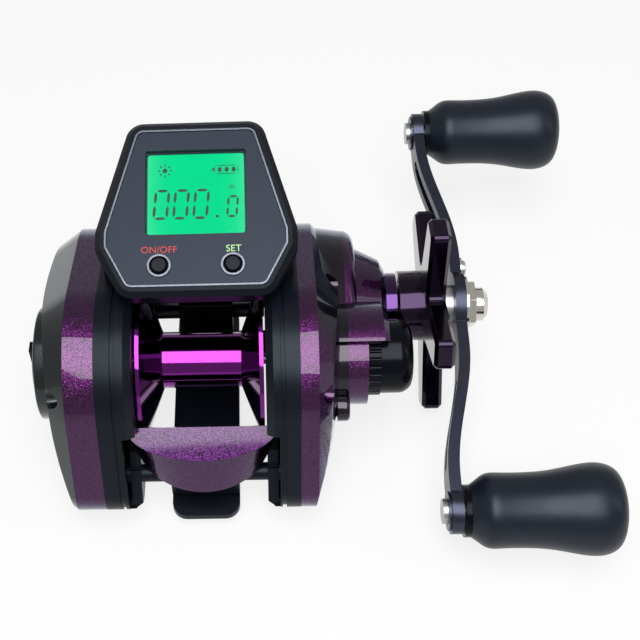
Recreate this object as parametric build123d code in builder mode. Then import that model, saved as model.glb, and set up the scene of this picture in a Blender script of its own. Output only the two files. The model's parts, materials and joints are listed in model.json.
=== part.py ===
from build123d import *
from math import acos, atan2, cos, degrees, hypot, radians, sin, tan
import os

# Low-profile baitcasting reel with a line counter, in millimetres.
# +X runs along the spool towards the handle, +Y is forward towards the rod tip, +Z is up.
# The origin is on the flat underside of the reel foot, straight below the spool's axis.

# Clearances and cuts
OVERRUN = 1.0
RUNNING_GAP = 0.3
SHAFT_PLAY = 0.05
SEAT_PLAY = 0.05
BEARING_WIDTH = 2.2
BEARING_WALL = 2.0

# Gears
GEAR_MODULE = 0.5
DRIVE_TEETH = 63
PINION_TEETH = 10
IDLER_TEETH = 20
WORM_TEETH = 17
MESH_SLACK = 0.06
ADDENDUM_SHARE = 0.72
DEDENDUM_SHARE = 1.0
TIP_WIDTH_SHARE = 0.34
ROOT_WIDTH_SHARE = 1.5
DRIVE_DROP = 12.7
WORM_DROP = 38.9

# Axes, as places (Y, Z) seen from the handle's side
SPOOL_AXIS_HEIGHT = 23.3
SPOOL_AXIS = (0, SPOOL_AXIS_HEIGHT)
DRIVE_DISTANCE = GEAR_MODULE * (DRIVE_TEETH + PINION_TEETH) / 2 + MESH_SLACK
DRIVE_AXIS = (
    DRIVE_DISTANCE * cos(radians(DRIVE_DROP)),
    SPOOL_AXIS_HEIGHT - DRIVE_DISTANCE * sin(radians(DRIVE_DROP)),
)
WORM_DISTANCE = GEAR_MODULE * (IDLER_TEETH + WORM_TEETH) / 2 + MESH_SLACK
WORM_AXIS = (
    DRIVE_AXIS[0] + WORM_DISTANCE * cos(radians(WORM_DROP)),
    DRIVE_AXIS[1] - WORM_DISTANCE * sin(radians(WORM_DROP)),
)

# Spool
SPOOL_WIDTH = 27.2
RIM_RADIUS = 17.0
RIM_WIDTH = 0.9
DRUM_WIDTH = 17.4
DRUM_RADIUS = 6.2
FLANGE_WALL = 1.2
FLANGE_RELIEF_RADIUS = 15.4
SPOOL_CORE_RADIUS = 4.6
SPOOL_SHAFT_RADIUS = 1.2
SPOOL_SHAFT_LEFT = 7.2
SPOOL_PIN_RADIUS = 0.5
SPOOL_PIN_REACH = 1.9
SPOOL_PIN_GAP = 1.2
SPOOL_MAGNET_RADIUS = 0.6
SPOOL_MAGNET_PLACE = 16.2
SPOOL_MAGNET_DEPTH = 0.8

# Side outline of the body: three rounds joined by straight tangents
REAR_HIGH_RADIUS = 21.2
REAR_HIGH_BACK = 2.0
REAR_LOW_RADIUS = 8.0
REAR_LOW_BACK = 20.5
REAR_LOW_HEIGHT = 9.0
FRONT_RADIUS = 19.3
FRONT_PLACE = (18.3, 19.6)

# Frame
CHEEK_GAP = 0.4
LEFT_CHEEK_DEPTH = 7.7
RIGHT_CHEEK_DEPTH = 7.2
CHEEK_WEB = 2.4
CHEEK_WALL = 1.8
CHEEK_BEVEL = 1.2
CHEEK_BEVEL_ANGLE = 38.0
SPOOL_OPENING_GAP = 0.4
SEAM_WIDTH = 0.9
SEAM_DEPTH = 0.5
REAR_BAR_RADIUS = 2.0
FLOOR_THICKNESS = 2.0
FLOOR_FRONT = 23.0
FLOOR_DEPTH = 9.0
STEM_WIDTH = 15.2
BRIDGE_DEPTH = 6.8
BRIDGE_THICKNESS = 2.4
BRIDGE_BACK = 13.9
BRIDGE_DROP = 4.5
SCREW_RADIUS = 1.1
SCREW_HEAD_RADIUS = 1.9
SCREW_HEAD_DEPTH = 1.3
SCREW_POST_WALL = 1.2
SCREW_BOSS_WALL = 0.85
SOCKET_RADIUS = 0.9
SOCKET_DEPTH = 0.7
REAR_SCREW_ANGLE = 150.0
TOP_SCREW_ANGLE = 114.0
TOP_SCREW_REACH = 0.4
FRONT_SCREW_ANGLE = 10.0

# Reel foot
FOOT_LENGTH = 60.0
FOOT_WIDTH = 15.2
FOOT_BACK = 27.3
FOOT_THICKNESS = 3.0
FOOT_END_THICKNESS = 1.5
FOOT_RAMP = 14.0
FOOT_CORNER_RADIUS = 3.4
FOOT_SCREW_SPACING = 15.0

# Left side plate and brake
DOME_RADIUS = 120.0
LEFT_BAND_DEPTH = 6.4
LEFT_DOME_DEPTH = 7.3
LEFT_FACET = 35.0
LEFT_BOSS_RADIUS = 12.6
LEFT_BOSS_PROUD = 0.7
LEFT_BOSS_ROUND = 0.5
PLATE_WALL = 1.8
BRAKE_PLATE_RADIUS = 16.0
BRAKE_PLATE_THICKNESS = 1.6
BRAKE_PLATE_BACK = 4.4
BRAKE_RING_WALL = 2.0
BRAKE_RING_STEP = 1.0
MAGNET_COUNT = 8
MAGNET_RADIUS = 1.6
MAGNET_HEIGHT = 1.2
MAGNET_PLACE = 9.4
DIAL_RADIUS = 8.8
DIAL_THICKNESS = 2.0
DIAL_PROUD = 0.9
DIAL_STEM_RADIUS = 2.4
DIAL_STEM_LENGTH = 4.0
DIAL_GRIP_WIDTH = 2.6
DIAL_GRIP_HEIGHT = 1.2
DIAL_EDGE_RADIUS = 0.6

# Right side plate, the gear case
RIGHT_BAND_DEPTH = 3.8
RIGHT_DOME_DEPTH = 6.2
RIGHT_FACET = 45.0
HUMP_FOOT_RADIUS = 18.9
HUMP_TOP_RADIUS = 17.0
HUMP_END = 13.4
HUMP_EDGE = 2.6
CAP_BOSS_RADIUS = 10.6
CAP_BOSS_END = 15.0
DRIVE_BOSS_FOOT_RADIUS = 13.9
DRIVE_BOSS_SHOULDER_RADIUS = 11.0
DRIVE_BOSS_RADIUS = 8.8
DRIVE_BOSS_BEVEL = 1.3
DRIVE_BOSS_END = 20.6
SHROUD_RADIUS = 12.2
SHROUD_THICKNESS = 3.0
SHROUD_LENGTH = 4.6
SHROUD_START = 3.4
SHROUD_TURN = 38.3
SHROUD_BEVEL = 1.2
OIL_PORT_PLACE = (-12.0, 21.0)
OIL_PORT_RADIUS = 3.1
OIL_PORT_PROUD = 0.9
OIL_PORT_EDGE = 0.8
OIL_PORT_SLOT = 1.0

# Drive train stations and sizes
DRIVE_SHAFT_RADIUS = 3.0
SHAFT_NECK_RADIUS = 2.0
RATCHET_RADIUS = 7.0
RATCHET_TEETH = 14
RATCHET_TOOTH = 1.1
RATCHET_TOOTH_SHARE = 0.83
RATCHET_THICKNESS = 1.0
IDLER_WIDTH = 1.4
DRIVE_GEAR_WIDTH = 3.3
DRAG_CUP_RADIUS = 11.4
DRAG_CUP_DEPTH = 3.4
DRAG_CUP_WALL = 0.9
DRAG_WASHER_THICKNESS = 0.6
DRAG_WASHER_COUNT = 3
DRAG_PLATE_THICKNESS = 0.5
PRESSURE_PLATE_THICKNESS = 1.2
SLEEVE_WALL = 1.3
CLUTCH_BEARING_RADIUS = 7.4
CLUTCH_BEARING_WIDTH = 8.6
CLUTCH_BEARING_INSET = 0.8
DRIVE_THREAD_RADIUS = 2.5
DRIVE_THREAD_LENGTH = 7.2
GEAR_START = 4.5
COLLAR_RADIUS = 7.8
COLLAR_WIDTH = 2.6
COLLAR_BORE = 6.8
CUP_SPRING_RADIUS = 5.4
CUP_SPRING_THICKNESS = 0.25
CUP_SPRING_RISE = 0.35

# Pinion and clutch
PINION_FACE = 7.4
PINION_JOURNAL_RADIUS = 2.1
PINION_NECK_RADIUS = 1.95
PINION_BORE_GAP = 0.3
PINION_COLLAR_RADIUS = 2.8
PINION_COLLAR_WIDTH = 0.6
PINION_BEARING_RADIUS = 4.0
PINION_TAIL = 0.6
YOKE_THICKNESS = 1.2
YOKE_REACH = 9.0
YOKE_WIDTH = 3.4
YOKE_TRAVEL = 1.4
YOKE_LEAN = 110.0
YOKE_EYE_RADIUS = 2.1
POST_RADIUS = 0.9
YOKE_PLAY = 0.1
SPRING_WALL = 0.4
CAM_INNER_RADIUS = 5.2
CAM_OUTER_RADIUS = 6.9
CAM_THICKNESS = 0.9
CAM_RAMP_HEIGHT = 0.3
CAM_ARM_REACH = 15.0
CAM_ARM_WIDTH = 2.6
CAM_ARM_ANGLE = 160.0

# Star drag
STAR_RADIUS = 24.6
STAR_ARMS = 5
STAR_START = 13.5
STAR_THICKNESS = 4.6
STAR_TIP_WIDTH = 7.0
STAR_HUB_RADIUS = 8.2
STAR_HUB_LENGTH = 5.6
STAR_VALLEY_RADIUS = 8.8
STAR_TIP_ROUND = 1.4
STAR_EDGE = 0.8
STAR_VALLEY_ROUND = 2.4

# Handle
HANDLE_RADIUS = 51.4
HANDLE_TILT = 8.7
HANDLE_CENTRE_X = 57.7
HANDLE_SWEEP = 5.2
HANDLE_THICKNESS = 2.5
HANDLE_BEND_START = 12.0
HANDLE_BEND_END = 45.0
HANDLE_BEND_EASE = 12.0
HANDLE_EYE_RADIUS = 4.9
HANDLE_HUB_RADIUS = 7.6
HANDLE_WAIST = 7.6
HANDLE_SLOT_START = 20.0
HANDLE_SLOT_END = 42.0
HANDLE_SLOT_WIDTH = 2.8
EYE_PAD_THICKNESS = 0.5
EYE_PAD_RADIUS = 4.2
SPACER_RADIUS = 4.6
NUT_ACROSS_FLATS = 9.6
NUT_HEIGHT = 2.6
NUT_CAP_RADIUS = 3.9
NUT_CAP_HEIGHT = 2.9
RETAINER_THICKNESS = 0.7
RETAINER_REACH = 10.0
RETAINER_RIM = 1.3
RETAINER_EYE_RADIUS = 2.6
RETAINER_SCREW_RADIUS = 1.9
RETAINER_SCREW_HEIGHT = 1.0
RETAINER_SCREW_SHANK = 0.9

# Knobs
KNOB_LENGTH = 32.4
KNOB_NECK_RADIUS = 8.0
KNOB_END_RADIUS = 9.8
KNOB_BORE_RADIUS = 4.0
KNOB_BORE_DEPTH = 26.0
KNOB_FLANGE_RADIUS = 5.6
KNOB_FLANGE_WIDTH = 1.2
KNOB_BUSH_LENGTH = 4.0
SPINDLE_RADIUS = 2.0
SPINDLE_HEAD_RADIUS = 2.7
SPINDLE_HEAD_HEIGHT = 1.1
SPINDLE_LENGTH = 21.6
KNOB_SCREW_RADIUS = 3.2
KNOB_SCREW_HEIGHT = 1.2
KNOB_SCREW_SHANK = 1.0
KNOB_SCREW_LENGTH = 5.0
KNOB_STATION_SHARES = (0, 0.035, 0.11, 0.2, 0.36, 0.5, 0.62, 0.76, 0.87, 0.95, 0.985, 1.0)
KNOB_BULGE_SHARES = (-1.4, -1.0, -0.1, 0.02, 0, 0.16, 0.52, 0.97, 0.93, 0.2, -1.0, -2.6)

# Cast control cap
CAST_CAP_RADIUS = 8.6
CAST_CAP_KNURL = 2.6
CAST_CAP_DOME = 7.2
CAST_CAP_STEP = 0.4
CAST_CAP_EDGE = 3.0
CAST_CAP_WALL = 2.6
CAST_CAP_NOTCHES = 30
CAST_CAP_NOTCH_RADIUS = 0.45
CAST_SEAT_RADIUS = 5.6
CAST_NOSE_LENGTH = 6.3
CAST_SHIM_RADIUS = 3.6
CAST_SHIM_THICKNESS = 0.4
CAST_END_PLAY = 0.1

# Thumb bar
THUMB_HALF_WIDTH = 16.3
THUMB_TOP = (-18.1, 23.2)
THUMB_CREASE = (-23.7, 18.5)
THUMB_FOOT = (-25.6, 8.8)
THUMB_THICKNESS = 1.8
THUMB_TRAVEL = 4.5
THUMB_POCKET_GAP = 0.4
SLIDE_START = 3.4
SLIDE_DEPTH = 3.6
SLIDE_THICKNESS = 1.1

# Level wind
WORM_RADIUS = 2.4
WORM_JOURNAL_RADIUS = 1.5
SHIELD_RADIUS = 3.7
SHIELD_WALL = 0.8
SHIELD_SLOT = 3.0
GUIDE_WIDTH = 12.6
GUIDE_DEPTH = 10.4
GUIDE_HEAD_DEPTH = 6.4
GUIDE_TOP = 29.4
GUIDE_BOTTOM = 7.4
GUIDE_TRAVEL = 6.6
EYE_WIDTH = 7.6
EYE_HEIGHT = 4.6
EYE_WALL = 1.1
EYE_RISE = 8.6
GUIDE_ROD_RADIUS = 1.0
GUIDE_ROD_RISE = 13.6
GUIDE_EDGE = 0.8
PAWL_RADIUS = 1.1
PAWL_CAP_RADIUS = 1.9
PAWL_CAP_HEIGHT = 1.2

# Line counter housing, laid out on its own sloping panel
PANEL_SLOPE = 22.0
PANEL_BACK = -1.2
PANEL_RISE = 49.9
PANEL_BOTTOM_HALF = 14.5
PANEL_SHOULDER_HALF = 19.3
PANEL_SHOULDER_LOW = 9.1
PANEL_SHOULDER_HIGH = 12.4
PANEL_TOP_HALF = 12.6
PANEL_HEIGHT = 35.6
PANEL_CORNER = 2.0
RIM_MARGIN = 2.0
COVER_DEPTH = 4.6
COVER_EDGE = 1.1
COVER_WALL = 1.6
TRIM_WIDTH = 0.45
TRIM_DEPTH = 0.8
FACE_THICKNESS = 1.4
FACE_SINK = 0.25
LCD_WIDTH = 21.4
LCD_HEIGHT = 19.2
LCD_RISE = 21.2
LCD_CORNER = 0.7
WINDOW_LEDGE = 0.4
LCD_MODULE_MARGIN = 0.9
LCD_MODULE_DEPTH = 1.4
BUTTON_RADIUS = 1.75
BUTTON_SPREAD = 7.7
BUTTON_RISE = 4.7
BUTTON_PROUD = 0.8
BUTTON_TRAVEL = 0.5
BUTTON_RIM_WIDTH = 0.45
BUTTON_RIM_PROUD = 0.35
BUTTON_FLANGE_WIDTH = 0.6
BUTTON_FLANGE_DEPTH = 0.6
SWITCH_SIZE = 3.0
STANDOFF_RADIUS = 0.9
STANDOFF_SPREAD = 11.0
STANDOFF_RISE = 8.6
BOARD_WIDTH = 24.0
BOARD_HEIGHT = 26.0
BOARD_THICKNESS = 0.9
BOARD_RISE = 15.6
BATTERY_WIDTH = 20.0
BATTERY_HEIGHT = 15.0
BATTERY_DEPTH = 3.6
BATTERY_RISE = 21.0
BASE_FRONT_DROP = 25.0
BASE_FRONT_LEAN = 2.5
BASE_MARGIN = 1.2
BASE_WALL = 1.8
BASE_CONTACT_PLACE = (24.0, 33.0)
BASE_BOSS_RADIUS = 2.4
BASE_BOSS_SPREAD = 9.0
BASE_SCREW_LENGTH = 6.0
PORT_WIDTH = 8.0
PORT_HEIGHT = 3.4
PORT_RISE = 12.0

# Spool sensor
SENSOR_WIDTH = 3.0
SENSOR_HEIGHT = 1.6
SENSOR_DEPTH = 1.6

# Places worked out from the sizes above
CHEEK_X = SPOOL_WIDTH / 2 + CHEEK_GAP
LEFT_OUT = -(CHEEK_X + LEFT_CHEEK_DEPTH)
RIGHT_OUT = CHEEK_X + RIGHT_CHEEK_DEPTH
WEB_OUT = CHEEK_X + CHEEK_WEB
REAR_HIGH = (-REAR_HIGH_BACK, SPOOL_AXIS_HEIGHT)
REAR_LOW = (-REAR_LOW_BACK, REAR_LOW_HEIGHT)
BRIDGE_HEIGHT = FRONT_PLACE[1] + FRONT_RADIUS - BRIDGE_DROP
LEFT_BAND_X = LEFT_OUT - LEFT_BAND_DEPTH
LEFT_TIP_X = LEFT_BAND_X - LEFT_DOME_DEPTH
BODY_REACH = 3 * RIGHT_OUT
RIGHT_BAND_X = RIGHT_OUT + RIGHT_BAND_DEPTH
RIGHT_TIP_X = RIGHT_BAND_X + RIGHT_DOME_DEPTH
OUTLINE_CENTRE = ((REAR_HIGH[0] + FRONT_PLACE[0]) / 2, (REAR_HIGH[1] + FRONT_PLACE[1]) / 2)
FULL_TURN = 360
HALF_TURN = 180
UPWARD = 90


def polar(centre, radius, angle):
    """A place at a radius and an angle in degrees from a centre."""
    return (centre[0] + radius * cos(radians(angle)), centre[1] + radius * sin(radians(angle)))


def across(x):
    """The plane square to the spool's axis at station x, with Y to the right and Z up."""
    return Plane.YZ.offset(x)


def bar(axis, start, end, radius, mode=Mode.ADD):
    """A round bar along X between two stations."""
    with BuildSketch(across(start)) as section:
        with Locations(axis):
            Circle(radius)
    extrude(section.sketch, amount=end - start, mode=mode)


def tube(axis, start, end, radius, bore, mode=Mode.ADD):
    """A round tube along X between two stations."""
    with BuildSketch(across(start)) as section:
        with Locations(axis):
            Circle(radius)
            Circle(bore, mode=Mode.SUBTRACT)
    extrude(section.sketch, amount=end - start, mode=mode)


def tangent_angle(first, first_radius, second, second_radius):
    """Direction of the outward normal of the line that touches two rounds, going anticlockwise."""
    along = atan2(second[1] - first[1], second[0] - first[0])
    gap = hypot(second[0] - first[0], second[1] - first[1])
    return degrees(along - acos((first_radius - second_radius) / gap))


def rounds_face(plane, rounds):
    """A face whose outline hugs a ring of rounds (centre, radius), listed anticlockwise."""
    count = len(rounds)
    turns = [
        tangent_angle(*rounds[i], *rounds[(i + 1) % count])
        for i in range(count)
    ]
    with BuildSketch(plane) as face:
        with BuildLine():
            for i in range(count):
                centre, radius = rounds[i]
                after, after_radius = rounds[(i + 1) % count]
                start, end = turns[i - 1], turns[i]
                end += FULL_TURN * ((start - end) // FULL_TURN + 1) if end < start else 0
                middle = (start + end) / 2
                ThreePointArc(
                    polar(centre, radius, start),
                    polar(centre, radius, middle),
                    polar(centre, radius, end),
                )
                Line(polar(centre, radius, end), polar(after, after_radius, end))
        make_face()
    return face.sketch


def body_face(x, inset=0):
    """The side outline of the body at station x, drawn in by an inset."""
    rounds = [
        (REAR_LOW, REAR_LOW_RADIUS - inset),
        (FRONT_PLACE, FRONT_RADIUS - inset),
        (REAR_HIGH, REAR_HIGH_RADIUS - inset),
    ]
    return rounds_face(across(x), rounds)


def body_slab(start, end, inset=0, taper=0, mode=Mode.ADD):
    """A slab of the body's outline between two stations."""
    extrude(body_face(start, inset), amount=end - start, taper=taper, mode=mode)


def gear_face(x, axis, teeth, turn=0):
    """The outline of a spur gear with straight flanks, with a tooth at the angle turn."""
    pitch_radius = GEAR_MODULE * teeth / 2
    tip_radius = pitch_radius + ADDENDUM_SHARE * GEAR_MODULE
    root_radius = pitch_radius - DEDENDUM_SHARE * GEAR_MODULE
    tip_half = degrees(TIP_WIDTH_SHARE * GEAR_MODULE / tip_radius)
    root_half = degrees(ROOT_WIDTH_SHARE * GEAR_MODULE / 2 / root_radius)
    corners = []
    for tooth in range(teeth):
        middle = turn + tooth * FULL_TURN / teeth
        corners += [
            polar(axis, root_radius, middle - root_half),
            polar(axis, tip_radius, middle - tip_half),
            polar(axis, tip_radius, middle + tip_half),
            polar(axis, root_radius, middle + root_half),
        ]
    with BuildSketch(across(x)) as face:
        with BuildLine():
            Polyline(*corners, close=True)
        make_face()
    return face.sketch

def prism(plane, corners, depth, mode=Mode.ADD):
    """A straight-sided block on a plane, from its corners."""
    with BuildSketch(plane) as section:
        with BuildLine():
            Polyline(*corners, close=True)
        make_face()
    extrude(section.sketch, amount=depth, mode=mode)


def spun(axis, profile, mode=Mode.ADD):
    """A turned piece about an axis along X, from corners given as (station, radius)."""
    plane = Plane(origin=(0, *axis), x_dir=(1, 0, 0), z_dir=(0, -1, 0))
    with BuildSketch(plane) as section:
        with BuildLine():
            Polyline(*profile, close=True)
        make_face()
    revolve(section.sketch, Axis((0, *axis), (1, 0, 0)), mode=mode)


def block(start, end, centre, width, height, turn=0, mode=Mode.ADD):
    """A box between two stations along X, turned by an angle about its centre."""
    with BuildSketch(across(start)) as section:
        with Locations(centre):
            Rectangle(width, height, rotation=turn)
    extrude(section.sketch, amount=end - start, mode=mode)


def hexagon(axis, start, end, radius, mode=Mode.ADD):
    """A hexagonal bar along X, with its corners at a radius."""
    with BuildSketch(across(start)) as section:
        with Locations(axis):
            RegularPolygon(radius, 6)
    extrude(section.sketch, amount=end - start, mode=mode)


def socket_screw(axis, tip, seat, side, head_radius=SCREW_HEAD_RADIUS, shank_radius=SCREW_RADIUS):
    """A screw along X with its head beyond the seat on the given side, and a hexagon socket."""
    head = seat + side * SCREW_HEAD_DEPTH
    bar(axis, tip, seat, shank_radius)
    bar(axis, seat, head, head_radius)
    hexagon(axis, head - side * SOCKET_DEPTH, head + side * OVERRUN, SOCKET_RADIUS, Mode.SUBTRACT)


def gear(start, width, axis, teeth, turn, bore):
    """A spur gear with a plain bore."""
    extrude(gear_face(start, axis, teeth, turn), amount=width)
    bar(axis, start - OVERRUN, start + width + OVERRUN, bore, Mode.SUBTRACT)


def dished_slab(start, band, tip, inset, facet):
    """A side plate's block: a straight band, a sloping facet and a ball-rounded face."""
    side = 1 if tip > start else -1
    body_slab(start, band, inset)
    body_slab(band, tip, inset, facet)
    with Locations((tip - side * DOME_RADIUS, *OUTLINE_CENTRE)):
        Sphere(DOME_RADIUS, mode=Mode.INTERSECT)


# Screw places, level-wind rod and the thumb bar's slope
SCREW_POST_RADIUS = SCREW_RADIUS + SCREW_POST_WALL
REAR_SCREW_REACH = RIM_RADIUS + SPOOL_OPENING_GAP + SCREW_POST_RADIUS + RUNNING_GAP
SCREW_POINTS = [
    REAR_LOW,
    polar(SPOOL_AXIS, REAR_SCREW_REACH, REAR_SCREW_ANGLE),
    polar(DRIVE_AXIS, FRONT_RADIUS + TOP_SCREW_REACH, TOP_SCREW_ANGLE),
]
LEFT_SCREW_POINTS = [
    REAR_LOW,
    SCREW_POINTS[1],
    polar(DRIVE_AXIS, FRONT_RADIUS - CHEEK_WALL - 2 * SCREW_HEAD_RADIUS, FRONT_SCREW_ANGLE),
]
SCREW_HOLE_RADIUS = SCREW_RADIUS + SEAT_PLAY
HEAD_HOLE_RADIUS = SCREW_HEAD_RADIUS + SEAT_PLAY
SCREW_BOSS_RADIUS = HEAD_HOLE_RADIUS + SCREW_BOSS_WALL
POST_POINTS = [polar(SPOOL_AXIS, YOKE_REACH, angle) for angle in (YOKE_LEAN, -YOKE_LEAN)]
ROD_AXIS = (WORM_AXIS[0], WORM_AXIS[1] + GUIDE_ROD_RISE)
THUMB_LENGTH = hypot(THUMB_TOP[0] - THUMB_FOOT[0], THUMB_TOP[1] - THUMB_FOOT[1])
THUMB_DOWN = (
    (THUMB_FOOT[0] - THUMB_TOP[0]) / THUMB_LENGTH,
    (THUMB_FOOT[1] - THUMB_TOP[1]) / THUMB_LENGTH,
)
THUMB_OUT = (THUMB_DOWN[1], -THUMB_DOWN[0])
POCKET_HALF = THUMB_HALF_WIDTH + THUMB_POCKET_GAP
SLIDE_BACK = THUMB_THICKNESS + SLIDE_THICKNESS


def thumb_point(down, out):
    """A place beside the thumb bar, measured down its slope and out from its top edge."""
    return (
        THUMB_TOP[0] + THUMB_DOWN[0] * down + THUMB_OUT[0] * out,
        THUMB_TOP[1] + THUMB_DOWN[1] * down + THUMB_OUT[1] * out,
    )


def thumb_block(half_width, first, last, inner, outer, mode=Mode.ADD):
    """A block along the thumb bar's slope, centred on the reel's middle."""
    corners = [
        thumb_point(first, inner),
        thumb_point(last, inner),
        thumb_point(last, outer),
        thumb_point(first, outer),
    ]
    prism(across(-half_width), corners, 2 * half_width, mode)


# Frame: two cheeks joined by a rear bar, a floor, the foot's stem and a bridge at the top
FLOOR_Z = FOOT_THICKNESS
FRAME_SIDES = ((-CHEEK_X, LEFT_OUT, LEFT_SCREW_POINTS), (CHEEK_X, RIGHT_OUT, SCREW_POINTS))
CAM_START = WEB_OUT + RUNNING_GAP
CAM_END = CAM_START + CAM_THICKNESS

with BuildPart() as seams:
    for inner, outer, places in FRAME_SIDES:
        middle = (inner + outer) / 2
        body_slab(middle - SEAM_WIDTH / 2, middle + SEAM_WIDTH / 2, -OVERRUN)
        body_slab(middle - SEAM_WIDTH / 2, middle + SEAM_WIDTH / 2, SEAM_DEPTH, mode=Mode.SUBTRACT)

with BuildPart() as frame:
    for inner, outer, places in FRAME_SIDES:
        side = 1 if outer > 0 else -1
        shoulder = inner + side * CHEEK_BEVEL / tan(radians(CHEEK_BEVEL_ANGLE))
        body_slab(shoulder, outer)
        body_slab(shoulder, inner, taper=CHEEK_BEVEL_ANGLE)
        body_slab(side * WEB_OUT, outer + side * OVERRUN, CHEEK_WALL, mode=Mode.SUBTRACT)
    opening = RIM_RADIUS + SPOOL_OPENING_GAP
    bar(SPOOL_AXIS, -WEB_OUT - OVERRUN, -CHEEK_X + OVERRUN, opening, Mode.SUBTRACT)
    add(seams.part, mode=Mode.SUBTRACT)
    for inner, outer, places in FRAME_SIDES:
        side = 1 if outer > 0 else -1
        for place in places:
            bar(place, side * (WEB_OUT - OVERRUN), outer, SCREW_POST_RADIUS)
    bar(REAR_LOW, -CHEEK_X - OVERRUN, CHEEK_X + OVERRUN, REAR_BAR_RADIUS)
    floor_centre = (FLOOR_FRONT - FLOOR_DEPTH / 2, FLOOR_Z + FLOOR_THICKNESS / 2)
    block(-CHEEK_X - OVERRUN, CHEEK_X + OVERRUN, floor_centre, FLOOR_DEPTH, FLOOR_THICKNESS)
    bridge_centre = (BRIDGE_BACK + BRIDGE_DEPTH / 2, BRIDGE_HEIGHT + BRIDGE_THICKNESS / 2)
    block(-CHEEK_X - OVERRUN, CHEEK_X + OVERRUN, bridge_centre, BRIDGE_DEPTH, BRIDGE_THICKNESS)
    stem = [
        (-REAR_LOW_BACK - REAR_BAR_RADIUS, FLOOR_Z),
        (FLOOR_FRONT - OVERRUN, FLOOR_Z),
        (FLOOR_FRONT - OVERRUN, FLOOR_Z + FLOOR_THICKNESS),
        (-REAR_LOW_BACK + 2 * REAR_BAR_RADIUS, FLOOR_Z + FLOOR_THICKNESS),
        (-REAR_LOW_BACK + REAR_BAR_RADIUS, REAR_LOW_HEIGHT),
        (-REAR_LOW_BACK - REAR_BAR_RADIUS, REAR_LOW_HEIGHT),
    ]
    prism(across(-STEM_WIDTH / 2), stem, STEM_WIDTH)
    # A boss that guides the clutch cam round the pinion's bearing
    cam_guide = CAM_INNER_RADIUS - SHAFT_PLAY
    bar(SPOOL_AXIS, WEB_OUT - OVERRUN, CAM_END, cam_guide)
    # Pocket in both cheeks for the thumb bar, its slide and their travel
    pocket_end = THUMB_LENGTH + THUMB_TRAVEL + THUMB_POCKET_GAP
    pocket_back = THUMB_THICKNESS + THUMB_POCKET_GAP
    thumb_block(POCKET_HALF, -THUMB_POCKET_GAP, pocket_end, -pocket_back, THUMB_LENGTH, Mode.SUBTRACT)
    slide_end = SLIDE_START + SLIDE_DEPTH + THUMB_TRAVEL + THUMB_POCKET_GAP
    slide_back = SLIDE_BACK + THUMB_POCKET_GAP
    thumb_block(POCKET_HALF, SLIDE_START - THUMB_POCKET_GAP, slide_end, -slide_back, 0, Mode.SUBTRACT)
    # Bores for bearings, shafts and screws
    bar(SPOOL_AXIS, CHEEK_X - OVERRUN, CAM_END + OVERRUN, PINION_BEARING_RADIUS + SEAT_PLAY, Mode.SUBTRACT)
    shaft_bore = SHAFT_NECK_RADIUS + BEARING_WALL + SEAT_PLAY
    bar(DRIVE_AXIS, CHEEK_X - OVERRUN, WEB_OUT + OVERRUN, shaft_bore, Mode.SUBTRACT)
    for start in (-WEB_OUT - OVERRUN, CHEEK_X - OVERRUN):
        end = start + CHEEK_WEB + 2 * OVERRUN
        bar(WORM_AXIS, start, end, WORM_JOURNAL_RADIUS + 2 * SHAFT_PLAY, Mode.SUBTRACT)
        bar(ROD_AXIS, start, end, GUIDE_ROD_RADIUS + SEAT_PLAY, Mode.SUBTRACT)
    for place in POST_POINTS:
        bar(place, CHEEK_X - OVERRUN, WEB_OUT + OVERRUN, POST_RADIUS + SEAT_PLAY, Mode.SUBTRACT)
    for inner, outer, places in FRAME_SIDES:
        side = 1 if outer > 0 else -1
        for place in places:
            bar(place, side * WEB_OUT, outer + side * OVERRUN, SCREW_HOLE_RADIUS, Mode.SUBTRACT)
    # Recess in the right web for the sensor that counts the spool's turns
    sensor_centre = polar(SPOOL_AXIS, SPOOL_MAGNET_PLACE, UPWARD)
    sensor_start = WEB_OUT - SENSOR_DEPTH
    sensor_room = (SENSOR_WIDTH + 2 * SEAT_PLAY, SENSOR_HEIGHT + 2 * SEAT_PLAY)
    block(sensor_start, WEB_OUT + OVERRUN, sensor_centre, *sensor_room, mode=Mode.SUBTRACT)
    # Screw holes in the bridge and in the floor
    for spread in (-BASE_BOSS_SPREAD, BASE_BOSS_SPREAD):
        with Locations((spread, bridge_centre[0], BRIDGE_HEIGHT + BRIDGE_THICKNESS / 2)):
            Cylinder(SCREW_HOLE_RADIUS, 2 * BRIDGE_THICKNESS, mode=Mode.SUBTRACT)
frame.part.label = "frame"

# Reel foot: a flat plate with ramped ends, screwed up into the stem
FOOT_FRONT = FOOT_LENGTH - FOOT_BACK
FOOT_SCREW_PLACES = [-FOOT_SCREW_SPACING, FOOT_SCREW_SPACING]
FOOT_SCREW_HEAD = SCREW_HEAD_RADIUS - SCREW_RADIUS

with BuildPart() as reel_foot:
    foot_side = [
        (-FOOT_BACK, 0),
        (FOOT_FRONT, 0),
        (FOOT_FRONT, FOOT_END_THICKNESS),
        (FOOT_FRONT - FOOT_RAMP, FOOT_THICKNESS),
        (-FOOT_BACK + FOOT_RAMP, FOOT_THICKNESS),
        (-FOOT_BACK, FOOT_END_THICKNESS),
    ]
    prism(across(-FOOT_WIDTH / 2), foot_side, FOOT_WIDTH)
    fillet(reel_foot.edges().filter_by(Axis.Z), FOOT_CORNER_RADIUS)
    with Locations([Location((0, place, 0), (180, 0, 0)) for place in FOOT_SCREW_PLACES]):
        CounterSinkHole(SCREW_HOLE_RADIUS, HEAD_HOLE_RADIUS, depth=2 * FOOT_THICKNESS)
reel_foot.part.label = "reel_foot"

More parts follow.
